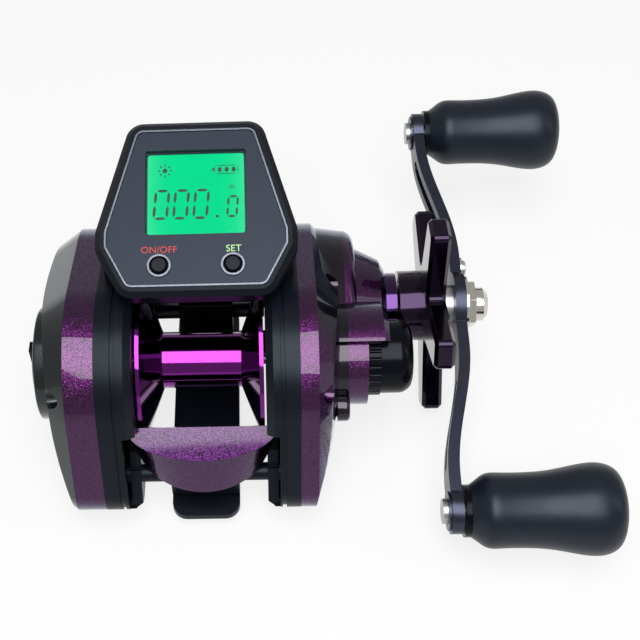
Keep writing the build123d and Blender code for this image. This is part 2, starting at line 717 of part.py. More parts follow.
FOOT_SCREW_SIDE = [
    (0, SEAT_PLAY),
    (SCREW_HEAD_RADIUS - 2 * SEAT_PLAY, SEAT_PLAY),
    (SCREW_RADIUS, FOOT_SCREW_HEAD + SEAT_PLAY),
    (SCREW_RADIUS, FOOT_THICKNESS),
    (0, FOOT_THICKNESS),
]

# Brake stations: the plate carries the left bearing and the magnets inside the spool opening
BRAKE_IN = -CHEEK_X - BRAKE_PLATE_BACK
BRAKE_OUT = BRAKE_IN - BRAKE_PLATE_THICKNESS
BRAKE_RING_RADIUS = BRAKE_PLATE_RADIUS - BRAKE_RING_WALL
BRAKE_RING_END = LEFT_OUT - BRAKE_RING_STEP
LEFT_BEARING_IN = BRAKE_IN + BEARING_WIDTH
SPOOL_BEARING_RADIUS = SPOOL_SHAFT_RADIUS + SHAFT_PLAY + BEARING_WALL

# Left side plate: a band, a facet, a shallow dome and a boss for the brake dial
BOSS_TIP_X = LEFT_TIP_X - LEFT_BOSS_PROUD
DIAL_SEAT_X = BOSS_TIP_X - DIAL_PROUD + DIAL_THICKNESS
DIAL_STEM_END = DIAL_SEAT_X + DIAL_STEM_LENGTH
LEFT_SEAT_X = LEFT_OUT - PLATE_WALL

with BuildPart() as left_hollow:
    dished_slab(LEFT_OUT + OVERRUN, LEFT_BAND_X, LEFT_TIP_X + PLATE_WALL, PLATE_WALL, LEFT_FACET)
    for place in LEFT_SCREW_POINTS:
        bar(place, LEFT_OUT + 2 * OVERRUN, LEFT_TIP_X, SCREW_BOSS_RADIUS, Mode.SUBTRACT)
    bar(SPOOL_AXIS, DIAL_STEM_END, LEFT_TIP_X, DIAL_STEM_RADIUS + BEARING_WALL, Mode.SUBTRACT)
    ring_bore = BRAKE_RING_RADIUS - BRAKE_RING_WALL
    tube(SPOOL_AXIS, BRAKE_RING_END, LEFT_TIP_X, BRAKE_RING_RADIUS, ring_bore, Mode.SUBTRACT)

with BuildPart() as left_side_plate:
    dished_slab(LEFT_OUT, LEFT_BAND_X, LEFT_TIP_X, 0, LEFT_FACET)
    bar(SPOOL_AXIS, LEFT_BAND_X, BOSS_TIP_X, LEFT_BOSS_RADIUS)
    fillet(left_side_plate.faces().sort_by(Axis.X)[0].edges(), LEFT_BOSS_ROUND)
    add(left_hollow.part, mode=Mode.SUBTRACT)
    bar(SPOOL_AXIS, DIAL_SEAT_X, BOSS_TIP_X - OVERRUN, DIAL_RADIUS + RUNNING_GAP, Mode.SUBTRACT)
    bar(SPOOL_AXIS, LEFT_OUT, BOSS_TIP_X, DIAL_STEM_RADIUS + SHAFT_PLAY, Mode.SUBTRACT)
    for place in LEFT_SCREW_POINTS:
        bar(place, LEFT_OUT + OVERRUN, LEFT_SEAT_X, SCREW_HOLE_RADIUS, Mode.SUBTRACT)
        bar(place, LEFT_SEAT_X, BOSS_TIP_X, HEAD_HOLE_RADIUS, Mode.SUBTRACT)
left_side_plate.part.label = "left_side_plate"

with BuildPart() as brake_plate:
    bar(SPOOL_AXIS, BRAKE_OUT, BRAKE_IN, BRAKE_PLATE_RADIUS)
    bar(SPOOL_AXIS, BRAKE_IN, LEFT_BEARING_IN, SPOOL_BEARING_RADIUS + BEARING_WALL)
    tube(SPOOL_AXIS, BRAKE_OUT, BRAKE_RING_END, BRAKE_RING_RADIUS, ring_bore)
    bar(SPOOL_AXIS, BRAKE_IN, LEFT_BEARING_IN + OVERRUN, SPOOL_BEARING_RADIUS + SEAT_PLAY, Mode.SUBTRACT)
    bar(SPOOL_AXIS, BRAKE_OUT - OVERRUN, BRAKE_IN + OVERRUN, SPOOL_SHAFT_RADIUS + RUNNING_GAP, Mode.SUBTRACT)
brake_plate.part.label = "brake_plate"

with BuildPart() as brake_magnets:
    for number in range(MAGNET_COUNT):
        place = polar(SPOOL_AXIS, MAGNET_PLACE, number * FULL_TURN / MAGNET_COUNT)
        bar(place, BRAKE_IN, BRAKE_IN + MAGNET_HEIGHT, MAGNET_RADIUS)
brake_magnets.part.label = "brake_magnets"

# Brake dial: a flat disc with a grip bar, on a short stem
with BuildPart() as brake_dial:
    dial_face = BOSS_TIP_X - DIAL_PROUD
    bar(SPOOL_AXIS, DIAL_SEAT_X - RUNNING_GAP, dial_face, DIAL_RADIUS)
    fillet(brake_dial.faces().sort_by(Axis.X)[0].edges(), DIAL_EDGE_RADIUS)
    grip_size = (DIAL_GRIP_WIDTH, 2 * (DIAL_RADIUS - DIAL_GRIP_WIDTH))
    block(dial_face - DIAL_GRIP_HEIGHT, dial_face, SPOOL_AXIS, *grip_size)
    bar(SPOOL_AXIS, dial_face, DIAL_STEM_END, DIAL_STEM_RADIUS)
brake_dial.part.label = "brake_dial"

# Spool with hollow ends, its shaft with the clutch pin, and the magnets that the counter reads
SPOOL_HALF = SPOOL_WIDTH / 2
FLANGE_RUN = SPOOL_HALF - RIM_WIDTH - DRUM_WIDTH / 2
FLANGE_RISE = RIM_RADIUS - DRUM_RADIUS
FLANGE_SHIFT = FLANGE_WALL * hypot(FLANGE_RUN, FLANGE_RISE) / FLANGE_RISE
FLANGE_LEAN = FLANGE_RUN / FLANGE_RISE
FLANGE_FOOT = DRUM_WIDTH / 2 + FLANGE_SHIFT
FLANGE_DEEP = FLANGE_FOOT + (SPOOL_CORE_RADIUS - DRUM_RADIUS) * FLANGE_LEAN
FLANGE_SHALLOW = FLANGE_FOOT + (FLANGE_RELIEF_RADIUS - DRUM_RADIUS) * FLANGE_LEAN
SPOOL_MAGNET_ANGLES = (UPWARD, -UPWARD)
CAST_CAP_START = RIGHT_OUT + CAP_BOSS_END + RUNNING_GAP
CAST_CAP_TIP = CAST_CAP_START + CAST_CAP_KNURL + CAST_CAP_DOME
SHIM_END = CAST_CAP_TIP - CAST_CAP_WALL
SHIM_START = SHIM_END - CAST_SHIM_THICKNESS
SPOOL_SHAFT_END = SHIM_START - CAST_END_PLAY
SPOOL_PIN_X = CHEEK_X + SPOOL_PIN_GAP - SPOOL_PIN_RADIUS

with BuildPart() as spool:
    half = [
        (0, SPOOL_SHAFT_RADIUS),
        (SPOOL_HALF, SPOOL_SHAFT_RADIUS),
        (SPOOL_HALF, SPOOL_CORE_RADIUS),
        (FLANGE_DEEP, SPOOL_CORE_RADIUS),
        (FLANGE_SHALLOW, FLANGE_RELIEF_RADIUS),
        (SPOOL_HALF, FLANGE_RELIEF_RADIUS),
        (SPOOL_HALF, RIM_RADIUS),
        (SPOOL_HALF - RIM_WIDTH, RIM_RADIUS),
        (DRUM_WIDTH / 2, DRUM_RADIUS),
        (0, DRUM_RADIUS),
    ]
    spun(SPOOL_AXIS, half)
    mirror(about=Plane.YZ)
    for angle in SPOOL_MAGNET_ANGLES:
        place = polar(SPOOL_AXIS, SPOOL_MAGNET_PLACE, angle)
        magnet_start = SPOOL_HALF - SPOOL_MAGNET_DEPTH
        bar(place, magnet_start, SPOOL_HALF + OVERRUN, SPOOL_MAGNET_RADIUS, Mode.SUBTRACT)
spool.part.label = "spool"

with BuildPart() as spool_magnets:
    for angle in SPOOL_MAGNET_ANGLES:
        place = polar(SPOOL_AXIS, SPOOL_MAGNET_PLACE, angle)
        bar(place, SPOOL_HALF - SPOOL_MAGNET_DEPTH, SPOOL_HALF, SPOOL_MAGNET_RADIUS)
spool_magnets.part.label = "spool_magnets"

with BuildPart() as spool_shaft:
    bar(SPOOL_AXIS, -SPOOL_HALF - SPOOL_SHAFT_LEFT, SPOOL_SHAFT_END, SPOOL_SHAFT_RADIUS)
    with Locations((SPOOL_PIN_X, *SPOOL_AXIS)):
        Cylinder(SPOOL_PIN_RADIUS, 2 * SPOOL_PIN_REACH)
spool_shaft.part.label = "spool_shaft"

# Pinion: a slotted tail that drives the pin, a collar, a neck for the yoke, the teeth and a nose
YOKE_START = CAM_END + CAM_RAMP_HEIGHT + YOKE_PLAY
YOKE_END = YOKE_START + YOKE_THICKNESS
PINION_START = CHEEK_X + SEAT_PLAY
PINION_TEETH_START = YOKE_END + YOKE_PLAY
PINION_TEETH_END = PINION_TEETH_START + PINION_FACE
PINION_BEARING_IN = RIGHT_TIP_X - PLATE_WALL
PINION_BEARING_OUT = PINION_BEARING_IN + BEARING_WIDTH
PINION_TIP = PINION_BEARING_OUT + PINION_TAIL
PINION_BORE = SPOOL_SHAFT_RADIUS + PINION_BORE_GAP
PINION_TURN = -DRIVE_DROP + HALF_TURN / PINION_TEETH
DRIVE_TURN = HALF_TURN - DRIVE_DROP
WORM_TURN = HALF_TURN - WORM_DROP + HALF_TURN / WORM_TEETH

with BuildPart() as pinion:
    extrude(gear_face(PINION_TEETH_START, SPOOL_AXIS, PINION_TEETH, PINION_TURN), amount=PINION_FACE)
    bar(SPOOL_AXIS, PINION_START, PINION_TEETH_START, PINION_NECK_RADIUS)
    bar(SPOOL_AXIS, PINION_START, CAM_START, PINION_JOURNAL_RADIUS)
    bar(SPOOL_AXIS, PINION_TEETH_END, PINION_TIP, PINION_JOURNAL_RADIUS)
    collar_end = YOKE_START - YOKE_PLAY
    bar(SPOOL_AXIS, collar_end - PINION_COLLAR_WIDTH, collar_end, PINION_COLLAR_RADIUS)
    bar(SPOOL_AXIS, PINION_START - OVERRUN, PINION_TIP + OVERRUN, PINION_BORE, Mode.SUBTRACT)
    slot_end = SPOOL_PIN_X + SPOOL_PIN_RADIUS + SHAFT_PLAY
    slot_width = 2 * (SPOOL_PIN_RADIUS + SHAFT_PLAY)
    slot_size = (slot_width, 3 * PINION_JOURNAL_RADIUS)
    block(PINION_START - OVERRUN, slot_end, SPOOL_AXIS, *slot_size, mode=Mode.SUBTRACT)
pinion.part.label = "pinion"

# Clutch: a cam ring that turns, a yoke that slides on two posts, and their springs
with BuildPart() as clutch_cam:
    tube(SPOOL_AXIS, CAM_START, CAM_END, CAM_OUTER_RADIUS, CAM_INNER_RADIUS)
    arm_middle = (CAM_ARM_REACH + CAM_INNER_RADIUS + BEARING_WALL) / 2
    arm_length = CAM_ARM_REACH - CAM_INNER_RADIUS - BEARING_WALL / 2
    arm_place = polar(SPOOL_AXIS, arm_middle, CAM_ARM_ANGLE)
    block(CAM_START, CAM_END, arm_place, arm_length, CAM_ARM_WIDTH, CAM_ARM_ANGLE)
    for angle in (YOKE_LEAN, -YOKE_LEAN):
        ramp_place = polar(SPOOL_AXIS, (CAM_INNER_RADIUS + CAM_OUTER_RADIUS) / 2, angle)
        ramp_size = (CAM_OUTER_RADIUS - CAM_INNER_RADIUS, CAM_ARM_WIDTH)
        block(CAM_END, CAM_END + CAM_RAMP_HEIGHT, ramp_place, *ramp_size, angle)
clutch_cam.part.label = "clutch_cam"

POST_END = YOKE_END + CLUTCH_BEARING_RADIUS
SPRING_RADIUS = POST_RADIUS + RUNNING_GAP + SPRING_WALL
with BuildPart() as clutch_yoke:
    bar(SPOOL_AXIS, YOKE_START, YOKE_END, YOKE_EYE_RADIUS + YOKE_WIDTH)
    for angle, place in zip((YOKE_LEAN, -YOKE_LEAN), POST_POINTS):
        bar(place, YOKE_START, YOKE_END, YOKE_WIDTH / 2)
        block(YOKE_START, YOKE_END, polar(SPOOL_AXIS, YOKE_REACH / 2, angle), YOKE_REACH, YOKE_WIDTH, angle)
    bar(SPOOL_AXIS, YOKE_START - OVERRUN, YOKE_END + OVERRUN, YOKE_EYE_RADIUS, Mode.SUBTRACT)
    fork_centre = (YOKE_EYE_RADIUS + YOKE_WIDTH, SPOOL_AXIS_HEIGHT)
    fork_size = (2 * (YOKE_EYE_RADIUS + YOKE_WIDTH), 2 * YOKE_EYE_RADIUS)
    block(YOKE_START - OVERRUN, YOKE_END + OVERRUN, fork_centre, *fork_size, mode=Mode.SUBTRACT)
    for place in POST_POINTS:
        bar(place, YOKE_START - OVERRUN, YOKE_END + OVERRUN, POST_RADIUS + SHAFT_PLAY, Mode.SUBTRACT)
clutch_yoke.part.label = "clutch_yoke"

with BuildPart() as yoke_springs:
    for place in POST_POINTS:
        tube(place, YOKE_END, POST_END, SPRING_RADIUS, POST_RADIUS + RUNNING_GAP)
yoke_springs.part.label = "yoke_springs"

# Bearings: plain rings pressed into their seats
DRIVE_BOSS_X = RIGHT_OUT + DRIVE_BOSS_END
CLUTCH_BEARING_OUT = DRIVE_BOSS_X - CLUTCH_BEARING_INSET
CLUTCH_BEARING_IN = CLUTCH_BEARING_OUT - CLUTCH_BEARING_WIDTH
SLEEVE_RADIUS = DRIVE_SHAFT_RADIUS + SHAFT_PLAY + SLEEVE_WALL
CAP_BOSS_X = RIGHT_OUT + CAP_BOSS_END
NOSE_X = CAP_BOSS_X + CAST_NOSE_LENGTH
BEARINGS = {
    "spool_bearings": [
        (SPOOL_AXIS, BRAKE_IN, BEARING_WIDTH, SPOOL_BEARING_RADIUS, SPOOL_SHAFT_RADIUS),
        (SPOOL_AXIS, NOSE_X - BEARING_WIDTH, BEARING_WIDTH, SPOOL_BEARING_RADIUS, SPOOL_SHAFT_RADIUS),
    ],
    "gear_case_bearings": [
        (SPOOL_AXIS, CHEEK_X, CHEEK_WEB, PINION_BEARING_RADIUS, PINION_JOURNAL_RADIUS),
        (SPOOL_AXIS, PINION_BEARING_IN, BEARING_WIDTH, PINION_BEARING_RADIUS, PINION_JOURNAL_RADIUS),
        (DRIVE_AXIS, CHEEK_X, CHEEK_WEB, SHAFT_NECK_RADIUS + BEARING_WALL, SHAFT_NECK_RADIUS),
    ],
    "one_way_bearing": [
        (DRIVE_AXIS, CLUTCH_BEARING_IN, CLUTCH_BEARING_WIDTH, CLUTCH_BEARING_RADIUS, SLEEVE_RADIUS),
    ],
}
bearings = []
for label, rings in BEARINGS.items():
    with BuildPart() as bearing:
        for axis, start, width, radius, bore in rings:
            tube(axis, start, start + width, radius, bore + SHAFT_PLAY)
    bearing.part.label = label
    bearings.append(bearing)

# Right side plate, the gear case
HUMP_X = RIGHT_OUT + HUMP_END
SHROUD_X = CAP_BOSS_X + SHROUD_LENGTH
RIGHT_SEAT_X = RIGHT_OUT + PLATE_WALL
GEAR_START_X = WEB_OUT + GEAR_START
CUP_START = GEAR_START_X + DRIVE_GEAR_WIDTH
CUP_END = CUP_START + DRAG_CUP_DEPTH
DRAG_STACK = DRAG_WASHER_COUNT * DRAG_WASHER_THICKNESS + (DRAG_WASHER_COUNT - 1) * DRAG_PLATE_THICKNESS
PRESSURE_START = CUP_START + DRAG_STACK
PRESSURE_END = PRESSURE_START + PRESSURE_PLATE_THICKNESS
CUP_ROOM_X = PRESSURE_END + 2 * RUNNING_GAP
SHROUD_BORE = SHROUD_RADIUS - SHROUD_THICKNESS

with BuildPart() as right_hollow:
    dished_slab(RIGHT_OUT - OVERRUN, RIGHT_BAND_X, RIGHT_TIP_X - PLATE_WALL, PLATE_WALL, RIGHT_FACET)
    bar(DRIVE_AXIS, RIGHT_OUT - OVERRUN, CUP_ROOM_X, DRAG_CUP_RADIUS + OVERRUN)
    for place in SCREW_POINTS:
        bar(place, RIGHT_OUT - 2 * OVERRUN, RIGHT_TIP_X, SCREW_BOSS_RADIUS, Mode.SUBTRACT)
    for place in POST_POINTS:
        bar(place, POST_END, RIGHT_TIP_X, SPRING_RADIUS + PLATE_WALL / 2, Mode.SUBTRACT)

with BuildPart() as shroud:
    tube(SPOOL_AXIS, RIGHT_BAND_X, SHROUD_X, SHROUD_RADIUS, SHROUD_BORE)
    chamfer(shroud.faces().sort_by(Axis.X)[-1].edges().sort_by(SortBy.RADIUS)[-1], SHROUD_BEVEL)
    away = polar(SPOOL_AXIS, SHROUD_START - 2 * SHROUD_RADIUS, SHROUD_TURN)
    block(RIGHT_BAND_X, SHROUD_X, away, 4 * SHROUD_RADIUS, 4 * SHROUD_RADIUS, SHROUD_TURN, Mode.SUBTRACT)

with BuildPart() as oil_port:
    port_top = RIGHT_TIP_X + OIL_PORT_PROUD
    bar(OIL_PORT_PLACE, RIGHT_TIP_X - PLATE_WALL, port_top, OIL_PORT_RADIUS)
    fillet(oil_port.faces().sort_by(Axis.X)[-1].edges(), OIL_PORT_EDGE)
    slot_size = (2 * OIL_PORT_SLOT, OIL_PORT_SLOT)
    block(port_top - OIL_PORT_PROUD / 2, port_top + OVERRUN, OIL_PORT_PLACE, *slot_size, mode=Mode.SUBTRACT)

with BuildPart() as right_side_plate:
    dished_slab(RIGHT_OUT, RIGHT_BAND_X, RIGHT_TIP_X, 0, RIGHT_FACET)
    hump_side = [
        (RIGHT_OUT, 0),
        (RIGHT_OUT, HUMP_FOOT_RADIUS),
        (HUMP_X, HUMP_TOP_RADIUS),
        (HUMP_X, 0),
    ]
    spun(FRONT_PLACE, hump_side)
    fillet(right_side_plate.faces().sort_by(Axis.X)[-1].edges(), HUMP_EDGE)
    spun(DRIVE_AXIS, [
        (RIGHT_BAND_X, 0),
        (RIGHT_BAND_X, DRIVE_BOSS_FOOT_RADIUS),
        (HUMP_X, DRIVE_BOSS_FOOT_RADIUS),
        (DRIVE_BOSS_X - DRIVE_BOSS_BEVEL, DRIVE_BOSS_SHOULDER_RADIUS),
        (DRIVE_BOSS_X, DRIVE_BOSS_RADIUS),
        (DRIVE_BOSS_X, 0),
    ])
    bar(SPOOL_AXIS, RIGHT_BAND_X, CAP_BOSS_X, CAP_BOSS_RADIUS)
    add(shroud.part)
    bar(SPOOL_AXIS, CAP_BOSS_X, DRIVE_BOSS_X + OVERRUN, SHROUD_BORE, Mode.SUBTRACT)
    bar(SPOOL_AXIS, CAP_BOSS_X, NOSE_X, CAST_SEAT_RADIUS)
    add(oil_port.part)
    add(right_hollow.part, mode=Mode.SUBTRACT)
    bearing_seat = PINION_BEARING_RADIUS + SEAT_PLAY
    bar(SPOOL_AXIS, RIGHT_BAND_X, PINION_BEARING_OUT, bearing_seat, Mode.SUBTRACT)
    tail_room = PINION_TIP + YOKE_TRAVEL + RUNNING_GAP
    bar(SPOOL_AXIS, RIGHT_BAND_X, tail_room, PINION_JOURNAL_RADIUS + RUNNING_GAP, Mode.SUBTRACT)
    bar(SPOOL_AXIS, RIGHT_BAND_X, NOSE_X, SPOOL_SHAFT_RADIUS + RUNNING_GAP, Mode.SUBTRACT)
    bar(SPOOL_AXIS, NOSE_X - BEARING_WIDTH, NOSE_X + OVERRUN, SPOOL_BEARING_RADIUS + SEAT_PLAY, Mode.SUBTRACT)
    bar(DRIVE_AXIS, RIGHT_BAND_X, DRIVE_BOSS_X, SLEEVE_RADIUS + 2 * RUNNING_GAP, Mode.SUBTRACT)
    clutch_seat = CLUTCH_BEARING_RADIUS + SEAT_PLAY
    bar(DRIVE_AXIS, CLUTCH_BEARING_IN, DRIVE_BOSS_X + OVERRUN, clutch_seat, Mode.SUBTRACT)
    for place in SCREW_POINTS:
        bar(place, RIGHT_OUT - OVERRUN, RIGHT_SEAT_X, SCREW_HOLE_RADIUS, Mode.SUBTRACT)
        bar(place, RIGHT_SEAT_X, HUMP_X, HEAD_HOLE_RADIUS, Mode.SUBTRACT)
right_side_plate.part.label = "right_side_plate"

# Drive train on the handle's shaft
SHAFT_END_X = HANDLE_CENTRE_X + DRIVE_THREAD_LENGTH
RATCHET_START = WEB_OUT + RUNNING_GAP
RATCHET_END = RATCHET_START + RATCHET_THICKNESS
IDLER_START = RATCHET_END + RUNNING_GAP
SHAFT_BORE = DRIVE_SHAFT_RADIUS + SEAT_PLAY
COLLAR_END = DRIVE_BOSS_X + COLLAR_WIDTH
HUB_START = COLLAR_END + 2 * RUNNING_GAP
STAR_START_X = HUB_START + STAR_HUB_LENGTH
STAR_END_X = STAR_START_X + STAR_THICKNESS
SPRING_STACK = 2 * (CUP_SPRING_THICKNESS + CUP_SPRING_RISE)
SLEEVE_END = HUB_START - SPRING_STACK

with BuildPart() as drive_shaft:
    bar(DRIVE_AXIS, CHEEK_X + RUNNING_GAP, RATCHET_START, SHAFT_NECK_RADIUS)
    bar(DRIVE_AXIS, RATCHET_START, HANDLE_CENTRE_X, DRIVE_SHAFT_RADIUS)
    bar(DRIVE_AXIS, HANDLE_CENTRE_X, SHAFT_END_X, DRIVE_THREAD_RADIUS)
    chamfer(drive_shaft.faces().sort_by(Axis.X)[-1].edges(), RUNNING_GAP)
drive_shaft.part.label = "drive_shaft"

with BuildPart() as ratchet:
    bar(DRIVE_AXIS, RATCHET_START, RATCHET_END, RATCHET_RADIUS)
    for number in range(RATCHET_TEETH):
        pitch = FULL_TURN / RATCHET_TEETH
        lead = number * pitch
        gullet = [
            polar(DRIVE_AXIS, RATCHET_RADIUS - RATCHET_TOOTH, lead),
            polar(DRIVE_AXIS, RATCHET_RADIUS + OVERRUN, lead),
            polar(DRIVE_AXIS, RATCHET_RADIUS + SHAFT_PLAY, lead + RATCHET_TOOTH_SHARE * pitch),
        ]
        prism(across(RATCHET_START - OVERRUN), gullet, RATCHET_THICKNESS + 2 * OVERRUN, Mode.SUBTRACT)
    bar(DRIVE_AXIS, RATCHET_START - OVERRUN, RATCHET_END + OVERRUN, SHAFT_BORE, Mode.SUBTRACT)
ratchet.part.label = "ratchet"

with BuildPart() as idler_gear:
    gear(IDLER_START, IDLER_WIDTH, DRIVE_AXIS, IDLER_TEETH, -WORM_DROP, SHAFT_BORE)
idler_gear.part.label = "idler_gear"

with BuildPart() as drive_gear:
    gear(GEAR_START_X, DRIVE_GEAR_WIDTH, DRIVE_AXIS, DRIVE_TEETH, DRIVE_TURN, SHAFT_BORE)
    tube(DRIVE_AXIS, CUP_START - OVERRUN, CUP_END, DRAG_CUP_RADIUS, DRAG_CUP_RADIUS - DRAG_CUP_WALL)
drive_gear.part.label = "drive_gear"

WASHER_RADIUS = DRAG_CUP_RADIUS - DRAG_CUP_WALL - RUNNING_GAP
DRAG_STEP = DRAG_WASHER_THICKNESS + DRAG_PLATE_THICKNESS
with BuildPart() as drag_stack:
    for number in range(DRAG_WASHER_COUNT):
        start = CUP_START + number * DRAG_STEP
        tube(DRIVE_AXIS, start, start + DRAG_WASHER_THICKNESS, WASHER_RADIUS, SLEEVE_RADIUS)
    for number in range(1, DRAG_WASHER_COUNT):
        end = CUP_START + number * DRAG_STEP
        tube(DRIVE_AXIS, end - DRAG_PLATE_THICKNESS, end, WASHER_RADIUS, SHAFT_BORE)
    tube(DRIVE_AXIS, PRESSURE_START, PRESSURE_END, WASHER_RADIUS, SHAFT_BORE)
drag_stack.part.label = "drag_stack"

with BuildPart() as drive_sleeve:
    tube(DRIVE_AXIS, PRESSURE_END, SLEEVE_END, SLEEVE_RADIUS, SHAFT_BORE)
drive_sleeve.part.label = "drive_sleeve"

with BuildPart() as drive_collar:
    spun(DRIVE_AXIS, [
        (CLUTCH_BEARING_OUT, SLEEVE_RADIUS + RUNNING_GAP),
        (DRIVE_BOSS_X, SLEEVE_RADIUS + RUNNING_GAP),
        (DRIVE_BOSS_X, COLLAR_BORE),
        (COLLAR_END, COLLAR_BORE),
        (COLLAR_END, COLLAR_RADIUS),
        (DRIVE_BOSS_X, COLLAR_RADIUS),
        (DRIVE_BOSS_X, CLUTCH_BEARING_RADIUS),
        (CLUTCH_BEARING_OUT, CLUTCH_BEARING_RADIUS),
    ])
drive_collar.part.label = "drive_collar"

with BuildPart() as cup_springs:
    for start, side in ((SLEEVE_END, 1), (HUB_START, -1)):
        spun(DRIVE_AXIS, [
            (start, SHAFT_BORE),
            (start + side * CUP_SPRING_THICKNESS, SHAFT_BORE),
            (start + side * (CUP_SPRING_THICKNESS + CUP_SPRING_RISE), CUP_SPRING_RADIUS),
            (start + side * CUP_SPRING_RISE, CUP_SPRING_RADIUS),
        ])
cup_springs.part.label = "cup_springs"

# Star drag: a hub and five arms
with BuildPart() as star_drag:
    star = []
    for number in range(STAR_ARMS):
        angle = STAR_START + number * FULL_TURN / STAR_ARMS
        tip_half = degrees(STAR_TIP_WIDTH / 2 / STAR_RADIUS)
        star.append(polar(DRIVE_AXIS, STAR_RADIUS, angle - tip_half))
        star.append(polar(DRIVE_AXIS, STAR_RADIUS, angle + tip_half))
        star.append(polar(DRIVE_AXIS, STAR_VALLEY_RADIUS, angle + HALF_TURN / STAR_ARMS))
    with BuildSketch(across(STAR_START_X)) as star_section:
        with BuildLine():
            Polyline(*star, close=True)
        make_face()
        corners = star_section.vertices().sort_by_distance((STAR_START_X, *DRIVE_AXIS))
        fillet(corners[:STAR_ARMS], STAR_VALLEY_ROUND)
        corners = star_section.vertices().sort_by_distance((STAR_START_X, *DRIVE_AXIS))
        fillet(corners[2 * STAR_ARMS:], STAR_TIP_ROUND)
    extrude(amount=STAR_THICKNESS)
    chamfer(star_drag.faces().sort_by(Axis.X)[-1].edges(), STAR_EDGE)
    chamfer(star_drag.faces().sort_by(Axis.X)[0].edges(), STAR_EDGE)
    bar(DRIVE_AXIS, HUB_START, STAR_START_X + STAR_EDGE, STAR_HUB_RADIUS)
    bar(DRIVE_AXIS, HUB_START - OVERRUN, STAR_END_X + OVERRUN, SHAFT_BORE, Mode.SUBTRACT)
star_drag.part.label = "star_drag"

# Handle: an arm swept in towards the reel at both ends
ARM_ANGLE = radians(HANDLE_TILT)
ARM_ALONG = (0, cos(ARM_ANGLE), sin(ARM_ANGLE))
ARM_ACROSS = (0, -sin(ARM_ANGLE), cos(ARM_ANGLE))
ARM_TOP = HANDLE_CENTRE_X + HANDLE_THICKNESS
EYE_IN = HANDLE_CENTRE_X - HANDLE_SWEEP
EYE_OUT = EYE_IN + HANDLE_THICKNESS
ARM_PLANE = Plane(origin=(EYE_IN - OVERRUN, *DRIVE_AXIS), x_dir=ARM_ALONG, z_dir=(1, 0, 0))
BEND_PLANE = Plane(origin=(0, *DRIVE_AXIS), x_dir=ARM_ALONG, z_dir=tuple(-part for part in ARM_ACROSS))
HANDLE_REACH = HANDLE_RADIUS + HANDLE_EYE_RADIUS
EYE_POINTS = [polar(DRIVE_AXIS, side * HANDLE_RADIUS, HANDLE_TILT) for side in (1, -1)]
RETAINER_POINT = polar(DRIVE_AXIS, RETAINER_REACH, HANDLE_TILT)

with BuildPart() as handle_arm:
    with BuildSketch(BEND_PLANE):
        with BuildLine():
            for level, way in ((0, 1), (HANDLE_THICKNESS, -1)):
                inner, outer = HANDLE_CENTRE_X + level, EYE_IN + level
                for side in (1, -1):
                    Bezier(
                        (side * HANDLE_BEND_START, inner),
                        (side * (HANDLE_BEND_START + HANDLE_BEND_EASE), inner),
                        (side * (HANDLE_BEND_END - HANDLE_BEND_EASE), outer),
                        (side * HANDLE_BEND_END, outer),
                    )
                    Line((side * HANDLE_BEND_END, outer), (side * HANDLE_REACH, outer))
                Line((-HANDLE_BEND_START, inner), (HANDLE_BEND_START, inner))
            for side in (1, -1):
                Line((side * HANDLE_REACH, EYE_IN), (side * HANDLE_REACH, EYE_OUT))
        make_face()
    extrude(amount=HANDLE_HUB_RADIUS, both=True)
    with BuildSketch(ARM_PLANE):
        Rectangle(2 * HANDLE_RADIUS, HANDLE_WAIST)
        Circle(HANDLE_HUB_RADIUS)
        with Locations((HANDLE_RADIUS, 0), (-HANDLE_RADIUS, 0)):
            Circle(HANDLE_EYE_RADIUS)
        slot_length = HANDLE_SLOT_END - HANDLE_SLOT_START
        slot_middle = (HANDLE_SLOT_END + HANDLE_SLOT_START) / 2
        with Locations((slot_middle, 0), (-slot_middle, 0)):
            SlotOverall(slot_length, HANDLE_SLOT_WIDTH, mode=Mode.SUBTRACT)
    extrude(amount=ARM_TOP - EYE_IN + 2 * OVERRUN, mode=Mode.INTERSECT)
    for place in EYE_POINTS:
        bar(place, EYE_IN - EYE_PAD_THICKNESS, EYE_IN + EYE_PAD_THICKNESS, EYE_PAD_RADIUS)
        bar(place, EYE_IN - OVERRUN, EYE_OUT + OVERRUN, SPINDLE_RADIUS + SEAT_PLAY, Mode.SUBTRACT)
    thread_bore = DRIVE_THREAD_RADIUS + SEAT_PLAY
    bar(DRIVE_AXIS, HANDLE_CENTRE_X - OVERRUN, ARM_TOP + OVERRUN, thread_bore, Mode.SUBTRACT)
    bar(RETAINER_POINT, EYE_IN, ARM_TOP + OVERRUN, RETAINER_SCREW_SHANK + SEAT_PLAY, Mode.SUBTRACT)
handle_arm.part.label = "handle_arm"

with BuildPart() as handle_spacer:
    tube(DRIVE_AXIS, STAR_END_X + 2 * RUNNING_GAP, HANDLE_CENTRE_X, SPACER_RADIUS, SHAFT_BORE)
handle_spacer.part.label = "handle_spacer"

NUT_SIDES = 6
NUT_CORNER_RADIUS = NUT_ACROSS_FLATS / 2 / cos(radians(HALF_TURN / NUT_SIDES))
NUT_END = ARM_TOP + NUT_HEIGHT
with BuildPart() as handle_nut:
    hexagon(DRIVE_AXIS, ARM_TOP, NUT_END, NUT_CORNER_RADIUS)
    bar(DRIVE_AXIS, NUT_END, NUT_END + NUT_CAP_HEIGHT, NUT_CAP_RADIUS)
    chamfer(handle_nut.faces().sort_by(Axis.X)[-1].edges(), OVERRUN)
    nut_bore = DRIVE_THREAD_RADIUS + SHAFT_PLAY
    bar(DRIVE_AXIS, ARM_TOP - OVERRUN, SHAFT_END_X + RUNNING_GAP, nut_bore, Mode.SUBTRACT)
handle_nut.part.label = "handle_nut"

